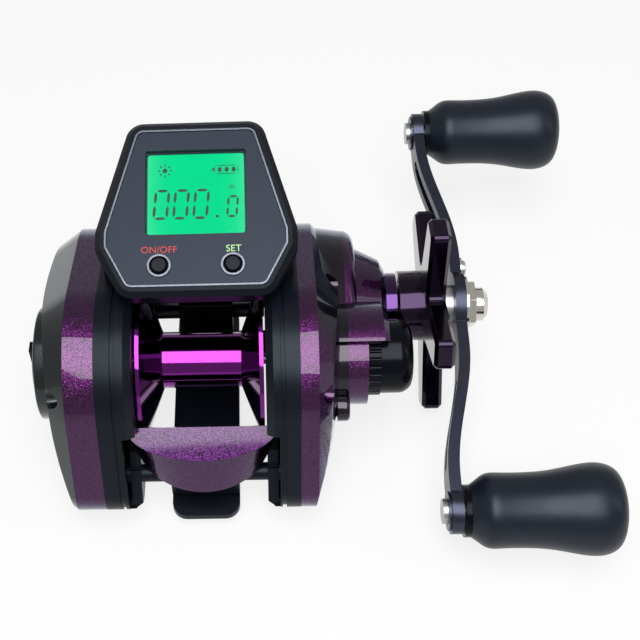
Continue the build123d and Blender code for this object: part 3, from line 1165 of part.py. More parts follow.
RETAINER_END = ARM_TOP + RETAINER_THICKNESS
with BuildPart() as nut_retainer:
    bar(DRIVE_AXIS, ARM_TOP, RETAINER_END, NUT_CORNER_RADIUS + RETAINER_RIM)
    bar(RETAINER_POINT, ARM_TOP, RETAINER_END, RETAINER_EYE_RADIUS)
    link = polar(DRIVE_AXIS, RETAINER_REACH / 2, HANDLE_TILT)
    block(ARM_TOP, RETAINER_END, link, RETAINER_REACH, RETAINER_EYE_RADIUS, HANDLE_TILT)
    nut_room = NUT_CORNER_RADIUS + SEAT_PLAY
    shank_room = RETAINER_SCREW_SHANK + SEAT_PLAY
    hexagon(DRIVE_AXIS, ARM_TOP - OVERRUN, RETAINER_END + OVERRUN, nut_room, Mode.SUBTRACT)
    bar(RETAINER_POINT, ARM_TOP - OVERRUN, RETAINER_END + OVERRUN, shank_room, Mode.SUBTRACT)
nut_retainer.part.label = "nut_retainer"

# Knobs on fixed spindles, each with a flanged bush and a plain bush
FLANGE_START = EYE_OUT + RUNNING_GAP
KNOB_START = FLANGE_START + KNOB_FLANGE_WIDTH
SPINDLE_END = KNOB_START + SPINDLE_LENGTH
PAD_FACE = EYE_IN - EYE_PAD_THICKNESS
FAR_BUSH_END = SPINDLE_END - RUNNING_GAP
KNOB_SWELL = KNOB_END_RADIUS - KNOB_NECK_RADIUS

with BuildPart() as knob_spindles:
    for place in EYE_POINTS:
        bar(place, PAD_FACE - SPINDLE_HEAD_HEIGHT, PAD_FACE, SPINDLE_HEAD_RADIUS)
        bar(place, PAD_FACE, SPINDLE_END, SPINDLE_RADIUS)
        bar(place, SPINDLE_END - KNOB_SCREW_LENGTH, SPINDLE_END + OVERRUN, KNOB_SCREW_SHANK, Mode.SUBTRACT)
knob_spindles.part.label = "knob_spindles"

with BuildPart() as handle_screws:
    bar(RETAINER_POINT, HANDLE_CENTRE_X, RETAINER_END, RETAINER_SCREW_SHANK)
    bar(RETAINER_POINT, RETAINER_END, RETAINER_END + RETAINER_SCREW_HEIGHT, RETAINER_SCREW_RADIUS)
    chamfer(handle_screws.faces().sort_by(Axis.X)[-1].edges(), RUNNING_GAP)
    slot_start = RETAINER_END + RETAINER_SCREW_HEIGHT / 2
    slot_stop = RETAINER_END + 2 * RETAINER_SCREW_HEIGHT
    slot_size = (RETAINER_SCREW_HEIGHT / 2, 3 * RETAINER_SCREW_RADIUS)
    block(slot_start, slot_stop, RETAINER_POINT, *slot_size, mode=Mode.SUBTRACT)
    for place in EYE_POINTS:
        bar(place, SPINDLE_END - KNOB_SCREW_LENGTH, SPINDLE_END, KNOB_SCREW_SHANK)
        bar(place, SPINDLE_END, SPINDLE_END + KNOB_SCREW_HEIGHT, KNOB_SCREW_RADIUS)
handle_screws.part.label = "handle_screws"

knobs = []
knob_bushes = []
for label, place in zip(("front", "rear"), EYE_POINTS):
    with BuildPart() as knob:
        outline = [
            (KNOB_START + station * KNOB_LENGTH, KNOB_NECK_RADIUS + bulge * KNOB_SWELL)
            for station, bulge in zip(KNOB_STATION_SHARES, KNOB_BULGE_SHARES)
        ]
        with BuildSketch(Plane(origin=(0, *place), x_dir=(1, 0, 0), z_dir=(0, -1, 0))):
            with BuildLine():
                Spline(*outline)
                Line(outline[-1], (outline[-1][0], 0))
                Line((outline[-1][0], 0), (outline[0][0], 0))
                Line((outline[0][0], 0), outline[0])
            make_face()
        revolve(axis=Axis((0, *place), (1, 0, 0)))
        bore = KNOB_BORE_RADIUS + SEAT_PLAY
        bar(place, KNOB_START - OVERRUN, KNOB_START + KNOB_BORE_DEPTH, bore, Mode.SUBTRACT)
    knob.part.label = f"{label}_knob"
    knobs.append(knob)
    with BuildPart() as bushes:
        near_end = KNOB_START + KNOB_BUSH_LENGTH
        bush_bore = SPINDLE_RADIUS + SHAFT_PLAY
        tube(place, FLANGE_START, KNOB_START, KNOB_FLANGE_RADIUS, bush_bore)
        tube(place, KNOB_START, near_end, KNOB_BORE_RADIUS, bush_bore)
        tube(place, FAR_BUSH_END - KNOB_BUSH_LENGTH, FAR_BUSH_END, KNOB_BORE_RADIUS, bush_bore)
    bushes.part.label = f"{label}_knob_bushes"
    knob_bushes.append(bushes)

# Cast control cap with a knurled ring, and the shim that the spool's shaft runs on
with BuildPart() as cast_control_cap:
    knurl_end = CAST_CAP_START + CAST_CAP_KNURL
    bar(SPOOL_AXIS, CAST_CAP_START, CAST_CAP_TIP, CAST_CAP_RADIUS - CAST_CAP_STEP)
    fillet(cast_control_cap.faces().sort_by(Axis.X)[-1].edges(), CAST_CAP_EDGE)
    bar(SPOOL_AXIS, CAST_CAP_START, knurl_end, CAST_CAP_RADIUS)
    with BuildSketch(across(CAST_CAP_START - OVERRUN)):
        with Locations(SPOOL_AXIS):
            with PolarLocations(CAST_CAP_RADIUS, CAST_CAP_NOTCHES):
                Circle(CAST_CAP_NOTCH_RADIUS)
    extrude(amount=CAST_CAP_KNURL + OVERRUN, mode=Mode.SUBTRACT)
    nose_room = CAST_SEAT_RADIUS + SHAFT_PLAY
    bar(SPOOL_AXIS, CAST_CAP_START - OVERRUN, NOSE_X + RUNNING_GAP, nose_room, Mode.SUBTRACT)
    bar(SPOOL_AXIS, CAST_CAP_START, SHIM_END, CAST_SHIM_RADIUS + SEAT_PLAY, Mode.SUBTRACT)
cast_control_cap.part.label = "cast_control_cap"

with BuildPart() as cast_shim:
    bar(SPOOL_AXIS, SHIM_START, SHIM_END, CAST_SHIM_RADIUS)
cast_shim.part.label = "cast_shim"

# Thumb bar: a crescent with two facets, on a slide between the cheeks
CREASE_RUN = (THUMB_CREASE[0] - THUMB_TOP[0], THUMB_CREASE[1] - THUMB_TOP[1])
FOOT_RUN = (THUMB_FOOT[0] - THUMB_TOP[0], THUMB_FOOT[1] - THUMB_TOP[1])
UPPER_LENGTH = hypot(*CREASE_RUN)
UPPER_DOWN = (CREASE_RUN[0] / UPPER_LENGTH, CREASE_RUN[1] / UPPER_LENGTH)
UPPER_OUT = (UPPER_DOWN[1], -UPPER_DOWN[0])
FOOT_REACH = FOOT_RUN[0] * UPPER_DOWN[0] + FOOT_RUN[1] * UPPER_DOWN[1]
FOOT_DEEP = -FOOT_RUN[0] * UPPER_OUT[0] - FOOT_RUN[1] * UPPER_OUT[1]
UPPER_FACET = Plane(origin=(0, *THUMB_TOP), x_dir=(1, 0, 0), z_dir=(0, *UPPER_OUT))


def crescent_face(depth, reach):
    """Half an oval hanging from the thumb bar's straight upper edge, at a depth under its facet."""
    with BuildSketch(UPPER_FACET.offset(-depth)) as face:
        Ellipse(THUMB_HALF_WIDTH, reach)
        with Locations((0, reach)):
            Rectangle(4 * THUMB_HALF_WIDTH, 2 * reach, mode=Mode.SUBTRACT)
    return face.sketch


with BuildPart() as thumb_bar:
    loft([crescent_face(0, UPPER_LENGTH), crescent_face(FOOT_DEEP, FOOT_REACH)], ruled=True)
    far_in = -2 * THUMB_LENGTH
    thumb_block(2 * THUMB_HALF_WIDTH, far_in, -far_in, far_in, -THUMB_THICKNESS, Mode.SUBTRACT)
    thumb_clear = RIM_RADIUS + SPOOL_OPENING_GAP
    bar(SPOOL_AXIS, -THUMB_HALF_WIDTH, THUMB_HALF_WIDTH, thumb_clear, Mode.SUBTRACT)
thumb_bar.part.label = "thumb_bar"

with BuildPart() as thumb_slide:
    slide_last = SLIDE_START + SLIDE_DEPTH
    thumb_block(THUMB_HALF_WIDTH, SLIDE_START, slide_last, -SLIDE_BACK, -THUMB_THICKNESS)
thumb_slide.part.label = "thumb_slide"

# Level wind: a worm in a slotted tube, a rod, and the guide with its ring and pawl
SHIELD_END = CHEEK_X - SHAFT_PLAY
GUIDE_HALF = GUIDE_WIDTH / 2
WORM_GEAR_END = IDLER_START + IDLER_WIDTH
with BuildPart() as worm_shaft:
    bar(WORM_AXIS, -SHIELD_END + RUNNING_GAP, SHIELD_END - RUNNING_GAP, WORM_RADIUS)
    bar(WORM_AXIS, -WEB_OUT, WORM_GEAR_END + RUNNING_GAP, WORM_JOURNAL_RADIUS)
worm_shaft.part.label = "worm_shaft"

with BuildPart() as worm_gear:
    gear(IDLER_START, IDLER_WIDTH, WORM_AXIS, WORM_TEETH, WORM_TURN, WORM_JOURNAL_RADIUS + SEAT_PLAY)
worm_gear.part.label = "worm_gear"

with BuildPart() as worm_shield:
    tube(WORM_AXIS, -SHIELD_END, SHIELD_END, SHIELD_RADIUS, SHIELD_RADIUS - SHIELD_WALL)
    slot_half = GUIDE_TRAVEL + SHIELD_SLOT / 2
    slot_middle = (WORM_AXIS[0], WORM_AXIS[1] - SHIELD_RADIUS)
    block(-slot_half, slot_half, slot_middle, SHIELD_SLOT, SHIELD_RADIUS, mode=Mode.SUBTRACT)
worm_shield.part.label = "worm_shield"

# Plain rods fixed in the frame: the line guide's, and the two that the clutch yoke slides on
with BuildPart() as frame_rods:
    bar(ROD_AXIS, -WEB_OUT, WEB_OUT, GUIDE_ROD_RADIUS)
    for place in POST_POINTS:
        bar(place, CHEEK_X, POST_END, POST_RADIUS)
frame_rods.part.label = "frame_rods"

EYE_PLACE = WORM_AXIS[1] + EYE_RISE
with BuildPart() as line_guide:
    shoulder_z = WORM_AXIS[1] + SHIELD_RADIUS + EYE_WALL
    lower = (WORM_AXIS[0], (GUIDE_BOTTOM + shoulder_z) / 2)
    upper = (WORM_AXIS[0], (GUIDE_BOTTOM + GUIDE_TOP) / 2)
    block(-GUIDE_HALF, GUIDE_HALF, lower, GUIDE_DEPTH, shoulder_z - GUIDE_BOTTOM)
    block(-GUIDE_HALF, GUIDE_HALF, upper, GUIDE_HEAD_DEPTH, GUIDE_TOP - GUIDE_BOTTOM)
    fillet(line_guide.edges().filter_by(Axis.X), GUIDE_EDGE)
    bar(WORM_AXIS, -GUIDE_WIDTH, GUIDE_WIDTH, SHIELD_RADIUS + SHAFT_PLAY, Mode.SUBTRACT)
    bar(ROD_AXIS, -GUIDE_WIDTH, GUIDE_WIDTH, GUIDE_ROD_RADIUS + SHAFT_PLAY, Mode.SUBTRACT)
    with BuildSketch(Plane.XZ.offset(-WORM_AXIS[0])):
        with Locations((0, EYE_PLACE)):
            SlotOverall(EYE_WIDTH + 2 * EYE_WALL, EYE_HEIGHT + 2 * EYE_WALL)
    extrude(amount=GUIDE_DEPTH, both=True, mode=Mode.SUBTRACT)
    with Locations((0, WORM_AXIS[0], GUIDE_BOTTOM)):
        Cylinder(PAWL_RADIUS + SEAT_PLAY, 2 * SHIELD_RADIUS, mode=Mode.SUBTRACT)
line_guide.part.label = "line_guide"

with BuildPart() as line_guide_ring:
    with BuildSketch(Plane.XZ.offset(-WORM_AXIS[0])):
        with Locations((0, EYE_PLACE)):
            SlotOverall(EYE_WIDTH + 2 * (EYE_WALL - SEAT_PLAY), EYE_HEIGHT + 2 * (EYE_WALL - SEAT_PLAY))
            SlotOverall(EYE_WIDTH, EYE_HEIGHT, mode=Mode.SUBTRACT)
    extrude(amount=GUIDE_HEAD_DEPTH / 2 + RUNNING_GAP, both=True)
line_guide_ring.part.label = "line_guide_ring"

with BuildPart() as level_wind_pawl:
    pawl_top = WORM_AXIS[1] - WORM_RADIUS - RUNNING_GAP
    with Locations((0, WORM_AXIS[0], (pawl_top + GUIDE_BOTTOM) / 2)):
        Cylinder(PAWL_RADIUS, pawl_top - GUIDE_BOTTOM)
    with Locations((0, WORM_AXIS[0], GUIDE_BOTTOM - PAWL_CAP_HEIGHT / 2)):
        Cylinder(PAWL_CAP_RADIUS, PAWL_CAP_HEIGHT)
    chamfer(level_wind_pawl.faces().sort_by(Axis.Z)[0].edges(), RUNNING_GAP)
level_wind_pawl.part.label = "level_wind_pawl"

# Line counter: its pieces are laid out from the sloping panel's lower edge
SLOPE_SIN = sin(radians(PANEL_SLOPE))
SLOPE_COS = cos(radians(PANEL_SLOPE))
PANEL = Plane(origin=(0, PANEL_BACK, PANEL_RISE), x_dir=(1, 0, 0), z_dir=(0, -SLOPE_SIN, SLOPE_COS))
PANEL_OUTWARD = Axis((0, 0, 0), (0, -SLOPE_SIN, SLOPE_COS))
PANEL_CORNERS = [
    (-PANEL_BOTTOM_HALF, 0),
    (PANEL_BOTTOM_HALF, 0),
    (PANEL_SHOULDER_HALF, PANEL_SHOULDER_LOW),
    (PANEL_SHOULDER_HALF, PANEL_SHOULDER_HIGH),
    (PANEL_TOP_HALF, PANEL_HEIGHT),
    (-PANEL_TOP_HALF, PANEL_HEIGHT),
    (-PANEL_SHOULDER_HALF, PANEL_SHOULDER_HIGH),
    (-PANEL_SHOULDER_HALF, PANEL_SHOULDER_LOW),
]


def panel_point(rise, level):
    """A place (Y, Z) up the panel's slope and out along its normal."""
    return (
        PANEL_BACK + rise * SLOPE_COS - level * SLOPE_SIN,
        PANEL_RISE + rise * SLOPE_SIN + level * SLOPE_COS,
    )


def panel_outline(level, margin):
    """The eight-sided outline of the panel at a level, grown by a margin, with rounded corners."""
    with BuildSketch(PANEL.offset(level)) as face:
        with BuildLine():
            Polyline(*PANEL_CORNERS, close=True)
        make_face()
        offset(amount=margin, kind=Kind.INTERSECTION)
        fillet(face.vertices(), PANEL_CORNER + margin)
    return face.sketch


def panel_slab(low, high, margin, mode=Mode.ADD):
    """A slab of the panel's outline between two levels."""
    extrude(panel_outline(low, margin), amount=high - low, mode=mode)


def panel_block(low, high, centre, width, height, corner=0, mode=Mode.ADD):
    """A rectangular block on the panel between two levels."""
    with BuildSketch(PANEL.offset(low)) as face:
        with Locations(centre):
            if corner:
                RectangleRounded(width, height, corner)
            else:
                Rectangle(width, height)
    extrude(face.sketch, amount=high - low, mode=mode)


def panel_disc(low, high, centre, radius, mode=Mode.ADD):
    """A disc on the panel between two levels."""
    with BuildSketch(PANEL.offset(low)) as face:
        with Locations(centre):
            Circle(radius)
    extrude(face.sketch, amount=high - low, mode=mode)


FACE_LOW = -FACE_SINK - FACE_THICKNESS
FACE_EDGE = -TRIM_WIDTH - SEAT_PLAY
LCD_PLACE = (0, LCD_RISE)
BUTTON_PLACES = {
    "on_off_button": (-BUTTON_SPREAD, BUTTON_RISE),
    "set_button": (BUTTON_SPREAD, BUTTON_RISE),
}
BUTTON_HOLE = BUTTON_RADIUS + RUNNING_GAP
RIM_RADIUS_OUT = BUTTON_HOLE + BUTTON_RIM_WIDTH
MODULE_LOW = FACE_LOW - LCD_MODULE_DEPTH
BOARD_LOW = MODULE_LOW - BOARD_THICKNESS
STANDOFFS = [(-STANDOFF_SPREAD, STANDOFF_RISE), (STANDOFF_SPREAD, STANDOFF_RISE)]
BUTTON_TOP = BUTTON_PROUD - FACE_SINK
FLANGE_TOP = FACE_LOW - SHAFT_PLAY
FLANGE_LOW = FLANGE_TOP - BUTTON_FLANGE_DEPTH

with BuildPart() as counter_cover:
    panel_slab(-COVER_DEPTH, 0, RIM_MARGIN)
    chamfer(counter_cover.faces().sort_by(PANEL_OUTWARD)[-1].edges(), COVER_EDGE)
    panel_slab(FACE_LOW, OVERRUN, 0, Mode.SUBTRACT)
    panel_slab(-COVER_DEPTH - OVERRUN, 0, -COVER_WALL, Mode.SUBTRACT)
counter_cover.part.label = "counter_cover"

with BuildPart() as panel_trim:
    panel_slab(-TRIM_DEPTH, SHAFT_PLAY, -SEAT_PLAY)
    panel_slab(-TRIM_DEPTH - OVERRUN, OVERRUN, -TRIM_WIDTH, Mode.SUBTRACT)
    for place in BUTTON_PLACES.values():
        panel_disc(FACE_LOW, -FACE_SINK + BUTTON_RIM_PROUD, place, RIM_RADIUS_OUT)
        panel_disc(FACE_LOW - OVERRUN, OVERRUN, place, BUTTON_HOLE, Mode.SUBTRACT)
panel_trim.part.label = "panel_trim"

with BuildPart() as panel_face:
    panel_slab(FACE_LOW, -FACE_SINK, FACE_EDGE)
    for place in STANDOFFS:
        panel_disc(MODULE_LOW, FACE_LOW, place, STANDOFF_RADIUS)
    seat_low = FACE_LOW + FACE_SINK + SEAT_PLAY
    seat_size = (LCD_WIDTH, LCD_HEIGHT)
    panel_block(seat_low, OVERRUN, LCD_PLACE, *seat_size, LCD_CORNER, Mode.SUBTRACT)
    ledge = (LCD_WIDTH - 2 * WINDOW_LEDGE, LCD_HEIGHT - 2 * WINDOW_LEDGE)
    panel_block(FACE_LOW - OVERRUN, OVERRUN, LCD_PLACE, *ledge, LCD_CORNER, Mode.SUBTRACT)
    for place in BUTTON_PLACES.values():
        panel_disc(FACE_LOW - OVERRUN, OVERRUN, place, RIM_RADIUS_OUT + SEAT_PLAY, Mode.SUBTRACT)
panel_face.part.label = "panel_face"

with BuildPart() as lcd_window:
    window = (LCD_WIDTH - 2 * SEAT_PLAY, LCD_HEIGHT - 2 * SEAT_PLAY)
    panel_block(FACE_LOW + FACE_SINK + SEAT_PLAY, -FACE_SINK, LCD_PLACE, *window, LCD_CORNER)
lcd_window.part.label = "lcd_window"

with BuildPart() as lcd_module:
    module = (LCD_WIDTH + 2 * LCD_MODULE_MARGIN, LCD_HEIGHT + 2 * LCD_MODULE_MARGIN)
    panel_block(MODULE_LOW, FACE_LOW, LCD_PLACE, *module)
lcd_module.part.label = "lcd_module"

with BuildPart() as circuit_board:
    panel_block(BOARD_LOW, MODULE_LOW, (0, BOARD_RISE), BOARD_WIDTH, BOARD_HEIGHT)
    for place in BUTTON_PLACES.values():
        panel_block(MODULE_LOW, FLANGE_LOW - BUTTON_TRAVEL - SHAFT_PLAY, place, SWITCH_SIZE, SWITCH_SIZE)
circuit_board.part.label = "circuit_board"

with BuildPart() as battery:
    battery_size = (BATTERY_WIDTH, BATTERY_HEIGHT)
    panel_block(BOARD_LOW - BATTERY_DEPTH, BOARD_LOW, (0, BATTERY_RISE), *battery_size, OVERRUN)
battery.part.label = "battery"

buttons = []
for label, place in BUTTON_PLACES.items():
    with BuildPart() as button:
        panel_disc(FLANGE_LOW, BUTTON_TOP, place, BUTTON_RADIUS)
        chamfer(button.faces().sort_by(PANEL_OUTWARD)[-1].edges(), RUNNING_GAP)
        panel_disc(FLANGE_LOW, FLANGE_TOP, place, BUTTON_RADIUS + BUTTON_FLANGE_WIDTH)
    button.part.label = label
    buttons.append(button)

# Counter base: the deep tray under the cover, shaped to sit on the frame
BASE_TOP = PANEL_RISE + PANEL_HEIGHT
BASE_FRONT = panel_point(PANEL_HEIGHT + BASE_MARGIN, -COVER_DEPTH)[0]
BASE_CORNER = (BASE_FRONT - BASE_FRONT_LEAN, PANEL_RISE + PANEL_HEIGHT * SLOPE_SIN - BASE_FRONT_DROP)
BASE_SIDE = [
    (-BASE_FRONT, BASE_TOP),
    (-BASE_FRONT, BASE_CONTACT_PLACE[1]),
    BASE_CONTACT_PLACE,
    BASE_CORNER,
    (BASE_FRONT, BASE_TOP),
]
BRIDGE_TOP = BRIDGE_HEIGHT + BRIDGE_THICKNESS
BASE_BOSSES = [(-BASE_BOSS_SPREAD, bridge_centre[0]), (BASE_BOSS_SPREAD, bridge_centre[0])]


def base_block(wall):
    """The tray's block, drawn in by a wall, down to the body's outline."""
    extrude(panel_outline(-COVER_DEPTH, BASE_MARGIN - wall), amount=BASE_TOP, dir=(0, 0, -1))
    with BuildSketch(across(-BODY_REACH)) as side_view:
        with BuildLine():
            Polyline(*BASE_SIDE, close=True)
        make_face()
        if wall:
            offset(amount=-wall, kind=Kind.INTERSECTION)
    extrude(side_view.sketch, amount=2 * BODY_REACH, mode=Mode.INTERSECT)
    body_slab(-BODY_REACH, BODY_REACH, -wall, mode=Mode.SUBTRACT)


def base_rods(radius, low, high, mode=Mode.ADD):
    """Two upright round bars over the bridge's screws."""
    with BuildSketch(Plane.XY.offset(low)) as section:
        with Locations(*BASE_BOSSES):
            Circle(radius)
    extrude(section.sketch, amount=high - low, mode=mode)


with BuildPart() as base_hollow:
    base_block(BASE_WALL)
    base_rods(BASE_BOSS_RADIUS, BRIDGE_TOP, BRIDGE_TOP + BASE_SCREW_LENGTH, Mode.SUBTRACT)

FRONT_LEAN = degrees(atan2(BASE_FRONT_LEAN, panel_point(PANEL_HEIGHT, 0)[1] - BASE_CORNER[1]))
PORT_PLACE = (BASE_CORNER[0] + PORT_RISE * tan(radians(FRONT_LEAN)), BASE_CORNER[1] + PORT_RISE)
PORT_PLANE = Plane(
    origin=(0, BASE_FRONT, PORT_PLACE[1]),
    x_dir=(1, 0, 0),
    z_dir=(0, 1, 0),
)

with BuildPart() as counter_base:
    base_block(0)
    add(base_hollow.part, mode=Mode.SUBTRACT)
    base_rods(BASE_BOSS_RADIUS, BRIDGE_TOP, BRIDGE_TOP + BASE_SCREW_LENGTH)
    hole_end = BRIDGE_TOP + BASE_SCREW_LENGTH - OVERRUN
    base_rods(SCREW_HOLE_RADIUS, BRIDGE_TOP - OVERRUN, hole_end, Mode.SUBTRACT)
    with BuildSketch(PORT_PLANE.offset(-2 * BASE_WALL - BASE_FRONT_LEAN)):
        RectangleRounded(PORT_WIDTH, PORT_HEIGHT, OVERRUN)
    extrude(amount=3 * BASE_WALL + BASE_FRONT_LEAN, mode=Mode.SUBTRACT)
counter_base.part.label = "counter_base"

with BuildPart() as port_plug:
    with BuildSketch(PORT_PLANE.offset(-BASE_WALL - BASE_FRONT_LEAN)):
        RectangleRounded(PORT_WIDTH - 2 * SEAT_PLAY, PORT_HEIGHT - 2 * SEAT_PLAY, OVERRUN)
    extrude(amount=BASE_WALL + BASE_FRONT_LEAN)
port_plug.part.label = "port_plug"

# Screws of the body: side plates, the tray's two under the bridge, and the foot's two
with BuildPart() as body_screws:
    for place in SCREW_POINTS:
        socket_screw(place, WEB_OUT + OVERRUN, RIGHT_SEAT_X, 1)
    for place in LEFT_SCREW_POINTS:
        socket_screw(place, -WEB_OUT - OVERRUN, LEFT_SEAT_X, -1)
    base_rods(SCREW_HEAD_RADIUS, BRIDGE_HEIGHT - SCREW_HEAD_DEPTH, BRIDGE_HEIGHT)
    base_rods(SCREW_RADIUS, BRIDGE_HEIGHT, BRIDGE_TOP + BASE_SCREW_LENGTH - OVERRUN)
    socket_top = BRIDGE_HEIGHT - SCREW_HEAD_DEPTH + SOCKET_DEPTH
    base_rods(SOCKET_RADIUS, BRIDGE_HEIGHT - 2 * SCREW_HEAD_DEPTH, socket_top, Mode.SUBTRACT)
    for place in FOOT_SCREW_PLACES:
        with BuildSketch(Plane.XZ.offset(-place)):
            with BuildLine():
                Polyline(*FOOT_SCREW_SIDE, close=True)
            make_face()
        revolve(axis=Axis((0, place, 0), (0, 0, 1)))
body_screws.part.label = "body_screws"

with BuildPart() as spool_sensor:
    block(sensor_start, WEB_OUT, sensor_centre, SENSOR_WIDTH, SENSOR_HEIGHT)
spool_sensor.part.label = "spool_sensor"

PARTS = [
    frame, reel_foot, body_screws, left_side_plate, brake_plate, brake_magnets, brake_dial,
    spool, spool_magnets, spool_shaft, pinion, clutch_cam, clutch_yoke, yoke_springs, *bearings,
    right_side_plate, drive_shaft, ratchet, idler_gear, drive_gear, drag_stack,
    drive_sleeve, drive_collar, cup_springs, star_drag, handle_arm, handle_spacer, handle_nut,
    nut_retainer, handle_screws, knob_spindles, *knobs, *knob_bushes, cast_control_cap, cast_shim,
    thumb_bar, thumb_slide, worm_shaft, worm_gear, worm_shield, frame_rods, line_guide,
    line_guide_ring, level_wind_pawl, counter_cover, panel_trim, panel_face, lcd_window, lcd_module,
    circuit_board, battery, *buttons, counter_base, port_plug, spool_sensor,
]
os.makedirs("parts", exist_ok=True)
for piece in PARTS:
    export_step(piece.part, f"parts/{piece.part.label}.step")
print(len(PARTS), "sub-parts")
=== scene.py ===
# %% [markdown]
# # A baitcasting reel with a line counter
# This lesson dresses a low-profile fishing reel whose frame, gears and handle are
# already built as exact solids. Blender brings the light, the paint, the display and
# the small surface detail. Everything is in metres and sits where the solids are, so
# no piece is fitted by eye.

import json
from math import cos, pi, radians, sin, tan

import bmesh
import bpy
from mathutils import Matrix, Vector


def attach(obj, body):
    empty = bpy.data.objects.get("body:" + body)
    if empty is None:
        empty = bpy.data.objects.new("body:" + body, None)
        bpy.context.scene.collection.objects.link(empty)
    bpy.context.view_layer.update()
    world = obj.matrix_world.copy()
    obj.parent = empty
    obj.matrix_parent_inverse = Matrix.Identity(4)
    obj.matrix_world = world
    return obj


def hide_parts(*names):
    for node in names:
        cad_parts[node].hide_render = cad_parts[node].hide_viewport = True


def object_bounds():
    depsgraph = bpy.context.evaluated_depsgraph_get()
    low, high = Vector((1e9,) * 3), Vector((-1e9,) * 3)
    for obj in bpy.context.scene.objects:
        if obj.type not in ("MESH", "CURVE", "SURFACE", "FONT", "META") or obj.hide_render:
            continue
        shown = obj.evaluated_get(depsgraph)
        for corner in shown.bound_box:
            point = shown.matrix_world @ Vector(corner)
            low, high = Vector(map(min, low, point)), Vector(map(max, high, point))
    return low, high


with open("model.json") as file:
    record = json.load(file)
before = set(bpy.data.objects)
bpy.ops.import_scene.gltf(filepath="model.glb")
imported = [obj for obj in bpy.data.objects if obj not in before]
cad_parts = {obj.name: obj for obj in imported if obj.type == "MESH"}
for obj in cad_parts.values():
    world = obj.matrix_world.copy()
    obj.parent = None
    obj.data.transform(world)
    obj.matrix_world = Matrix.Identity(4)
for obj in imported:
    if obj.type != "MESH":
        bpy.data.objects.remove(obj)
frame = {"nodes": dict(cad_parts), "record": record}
solid_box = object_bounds()
scene = bpy.context.scene

MM = 0.001

# %% [markdown]
# ## The camera
# The picture was taken from behind and above the reel, very near to it, so lines that
# are parallel on the reel close up in the picture. A short distance and a small turn
# about the line of sight give the same view. The lens follows from the distance at
# which the foot, spool and display come out at their sizes.

# %% Camera
LOOK_AT = Vector((3.09, 2.09, 25.73)) * MM
VIEW_TURN = radians(3.76)
VIEW_HEIGHT = radians(51.72)
VIEW_ROLL = radians(4.18)
VIEW_DISTANCE = 266.0 * MM
PICTURE_WIDTH = 640
FOCAL_PIXELS = 1189.95
AXIS_PIXEL = (216.3, 345.55)

camera_data = bpy.data.cameras.new("camera")
camera = bpy.data.objects.new("camera", camera_data)
scene.collection.objects.link(camera)
scene.camera = camera
backward = Vector(
    (sin(VIEW_TURN) * cos(VIEW_HEIGHT), -cos(VIEW_TURN) * cos(VIEW_HEIGHT), sin(VIEW_HEIGHT))
)
level = Vector((cos(VIEW_TURN), sin(VIEW_TURN), 0))
raised = backward.cross(level)
right = level * cos(VIEW_ROLL) - raised * sin(VIEW_ROLL)
upward = level * sin(VIEW_ROLL) + raised * cos(VIEW_ROLL)
camera.matrix_world = Matrix.Translation(LOOK_AT + backward * VIEW_DISTANCE) @ Matrix(
    (right, upward, backward)
).transposed().to_4x4()
camera_data.sensor_width = 36
camera_data.lens = FOCAL_PIXELS / PICTURE_WIDTH * camera_data.sensor_width
camera_data.shift_x = (PICTURE_WIDTH / 2 - AXIS_PIXEL[0]) / PICTURE_WIDTH
camera_data.shift_y = (AXIS_PIXEL[1] - PICTURE_WIDTH / 2) / PICTURE_WIDTH
camera_data.clip_start = 0.01
print("lens", round(camera_data.lens, 1), "mm")

# %% [markdown]
# ## Light
# The bands of paint show one bright patch with sharp ends, which is a softbox close to
# the camera: its upper end stands about 36 degrees above the line of sight and its
# lower end 12 degrees below. A rectangle of light with those ends gives the same patch
# on the band, the drum and the thumb bar. A small one at the handle's side draws the
# edges there, and the world adds an even, weaker light.

# %% Softbox
BOX_DISTANCE = 0.5
BOX_ABOVE = radians(36)
BOX_BELOW = radians(12)
BOX_WIDTH = 0.28
BOX_RADIANCE = 7.4
SIDE_PLACE = Vector((0.42, -0.1, 0.28))
SIDE_WIDTH = 0.12
SIDE_HEIGHT = 0.3
SIDE_RADIANCE = 1.8


def softbox(name, place, width, height, radiance, towards, up):
    """A rectangle of light at place that faces a point, with its top edge along up."""
    lamp = bpy.data.lights.new(name, "AREA")
    lamp.shape = "RECTANGLE"
    lamp.size = width
    lamp.size_y = height
    lamp.energy = radiance * pi * width * height
    lamp_object = bpy.data.objects.new(name, lamp)
    scene.collection.objects.link(lamp_object)
    out = (place - towards).normalized()
    side = up.cross(out).normalized()
    lamp_object.matrix_world = Matrix.Translation(place) @ Matrix(
        (side, out.cross(side), out)
    ).transposed().to_4x4()


box_low, box_high = -tan(BOX_BELOW) * BOX_DISTANCE, tan(BOX_ABOVE) * BOX_DISTANCE
box_place = LOOK_AT + backward * BOX_DISTANCE + raised * (box_low + box_high) / 2
softbox("camera_softbox", box_place, BOX_WIDTH, box_high - box_low, BOX_RADIANCE, LOOK_AT, raised)
side_place = LOOK_AT + SIDE_PLACE
upright = Vector((0, 0, 1))
softbox("side_softbox", side_place, SIDE_WIDTH, SIDE_HEIGHT, SIDE_RADIANCE, LOOK_AT, upright)
print("softbox height", round(box_high - box_low, 3), "m")


# %% [markdown]
# ## Finishes written as sums
# A node tree for a paint is arithmetic drawn as boxes. Writing it as arithmetic in
# Python is shorter and easier to read, so a socket is wrapped in a small class that
# knows plus, minus and times, and every other node comes from one method.

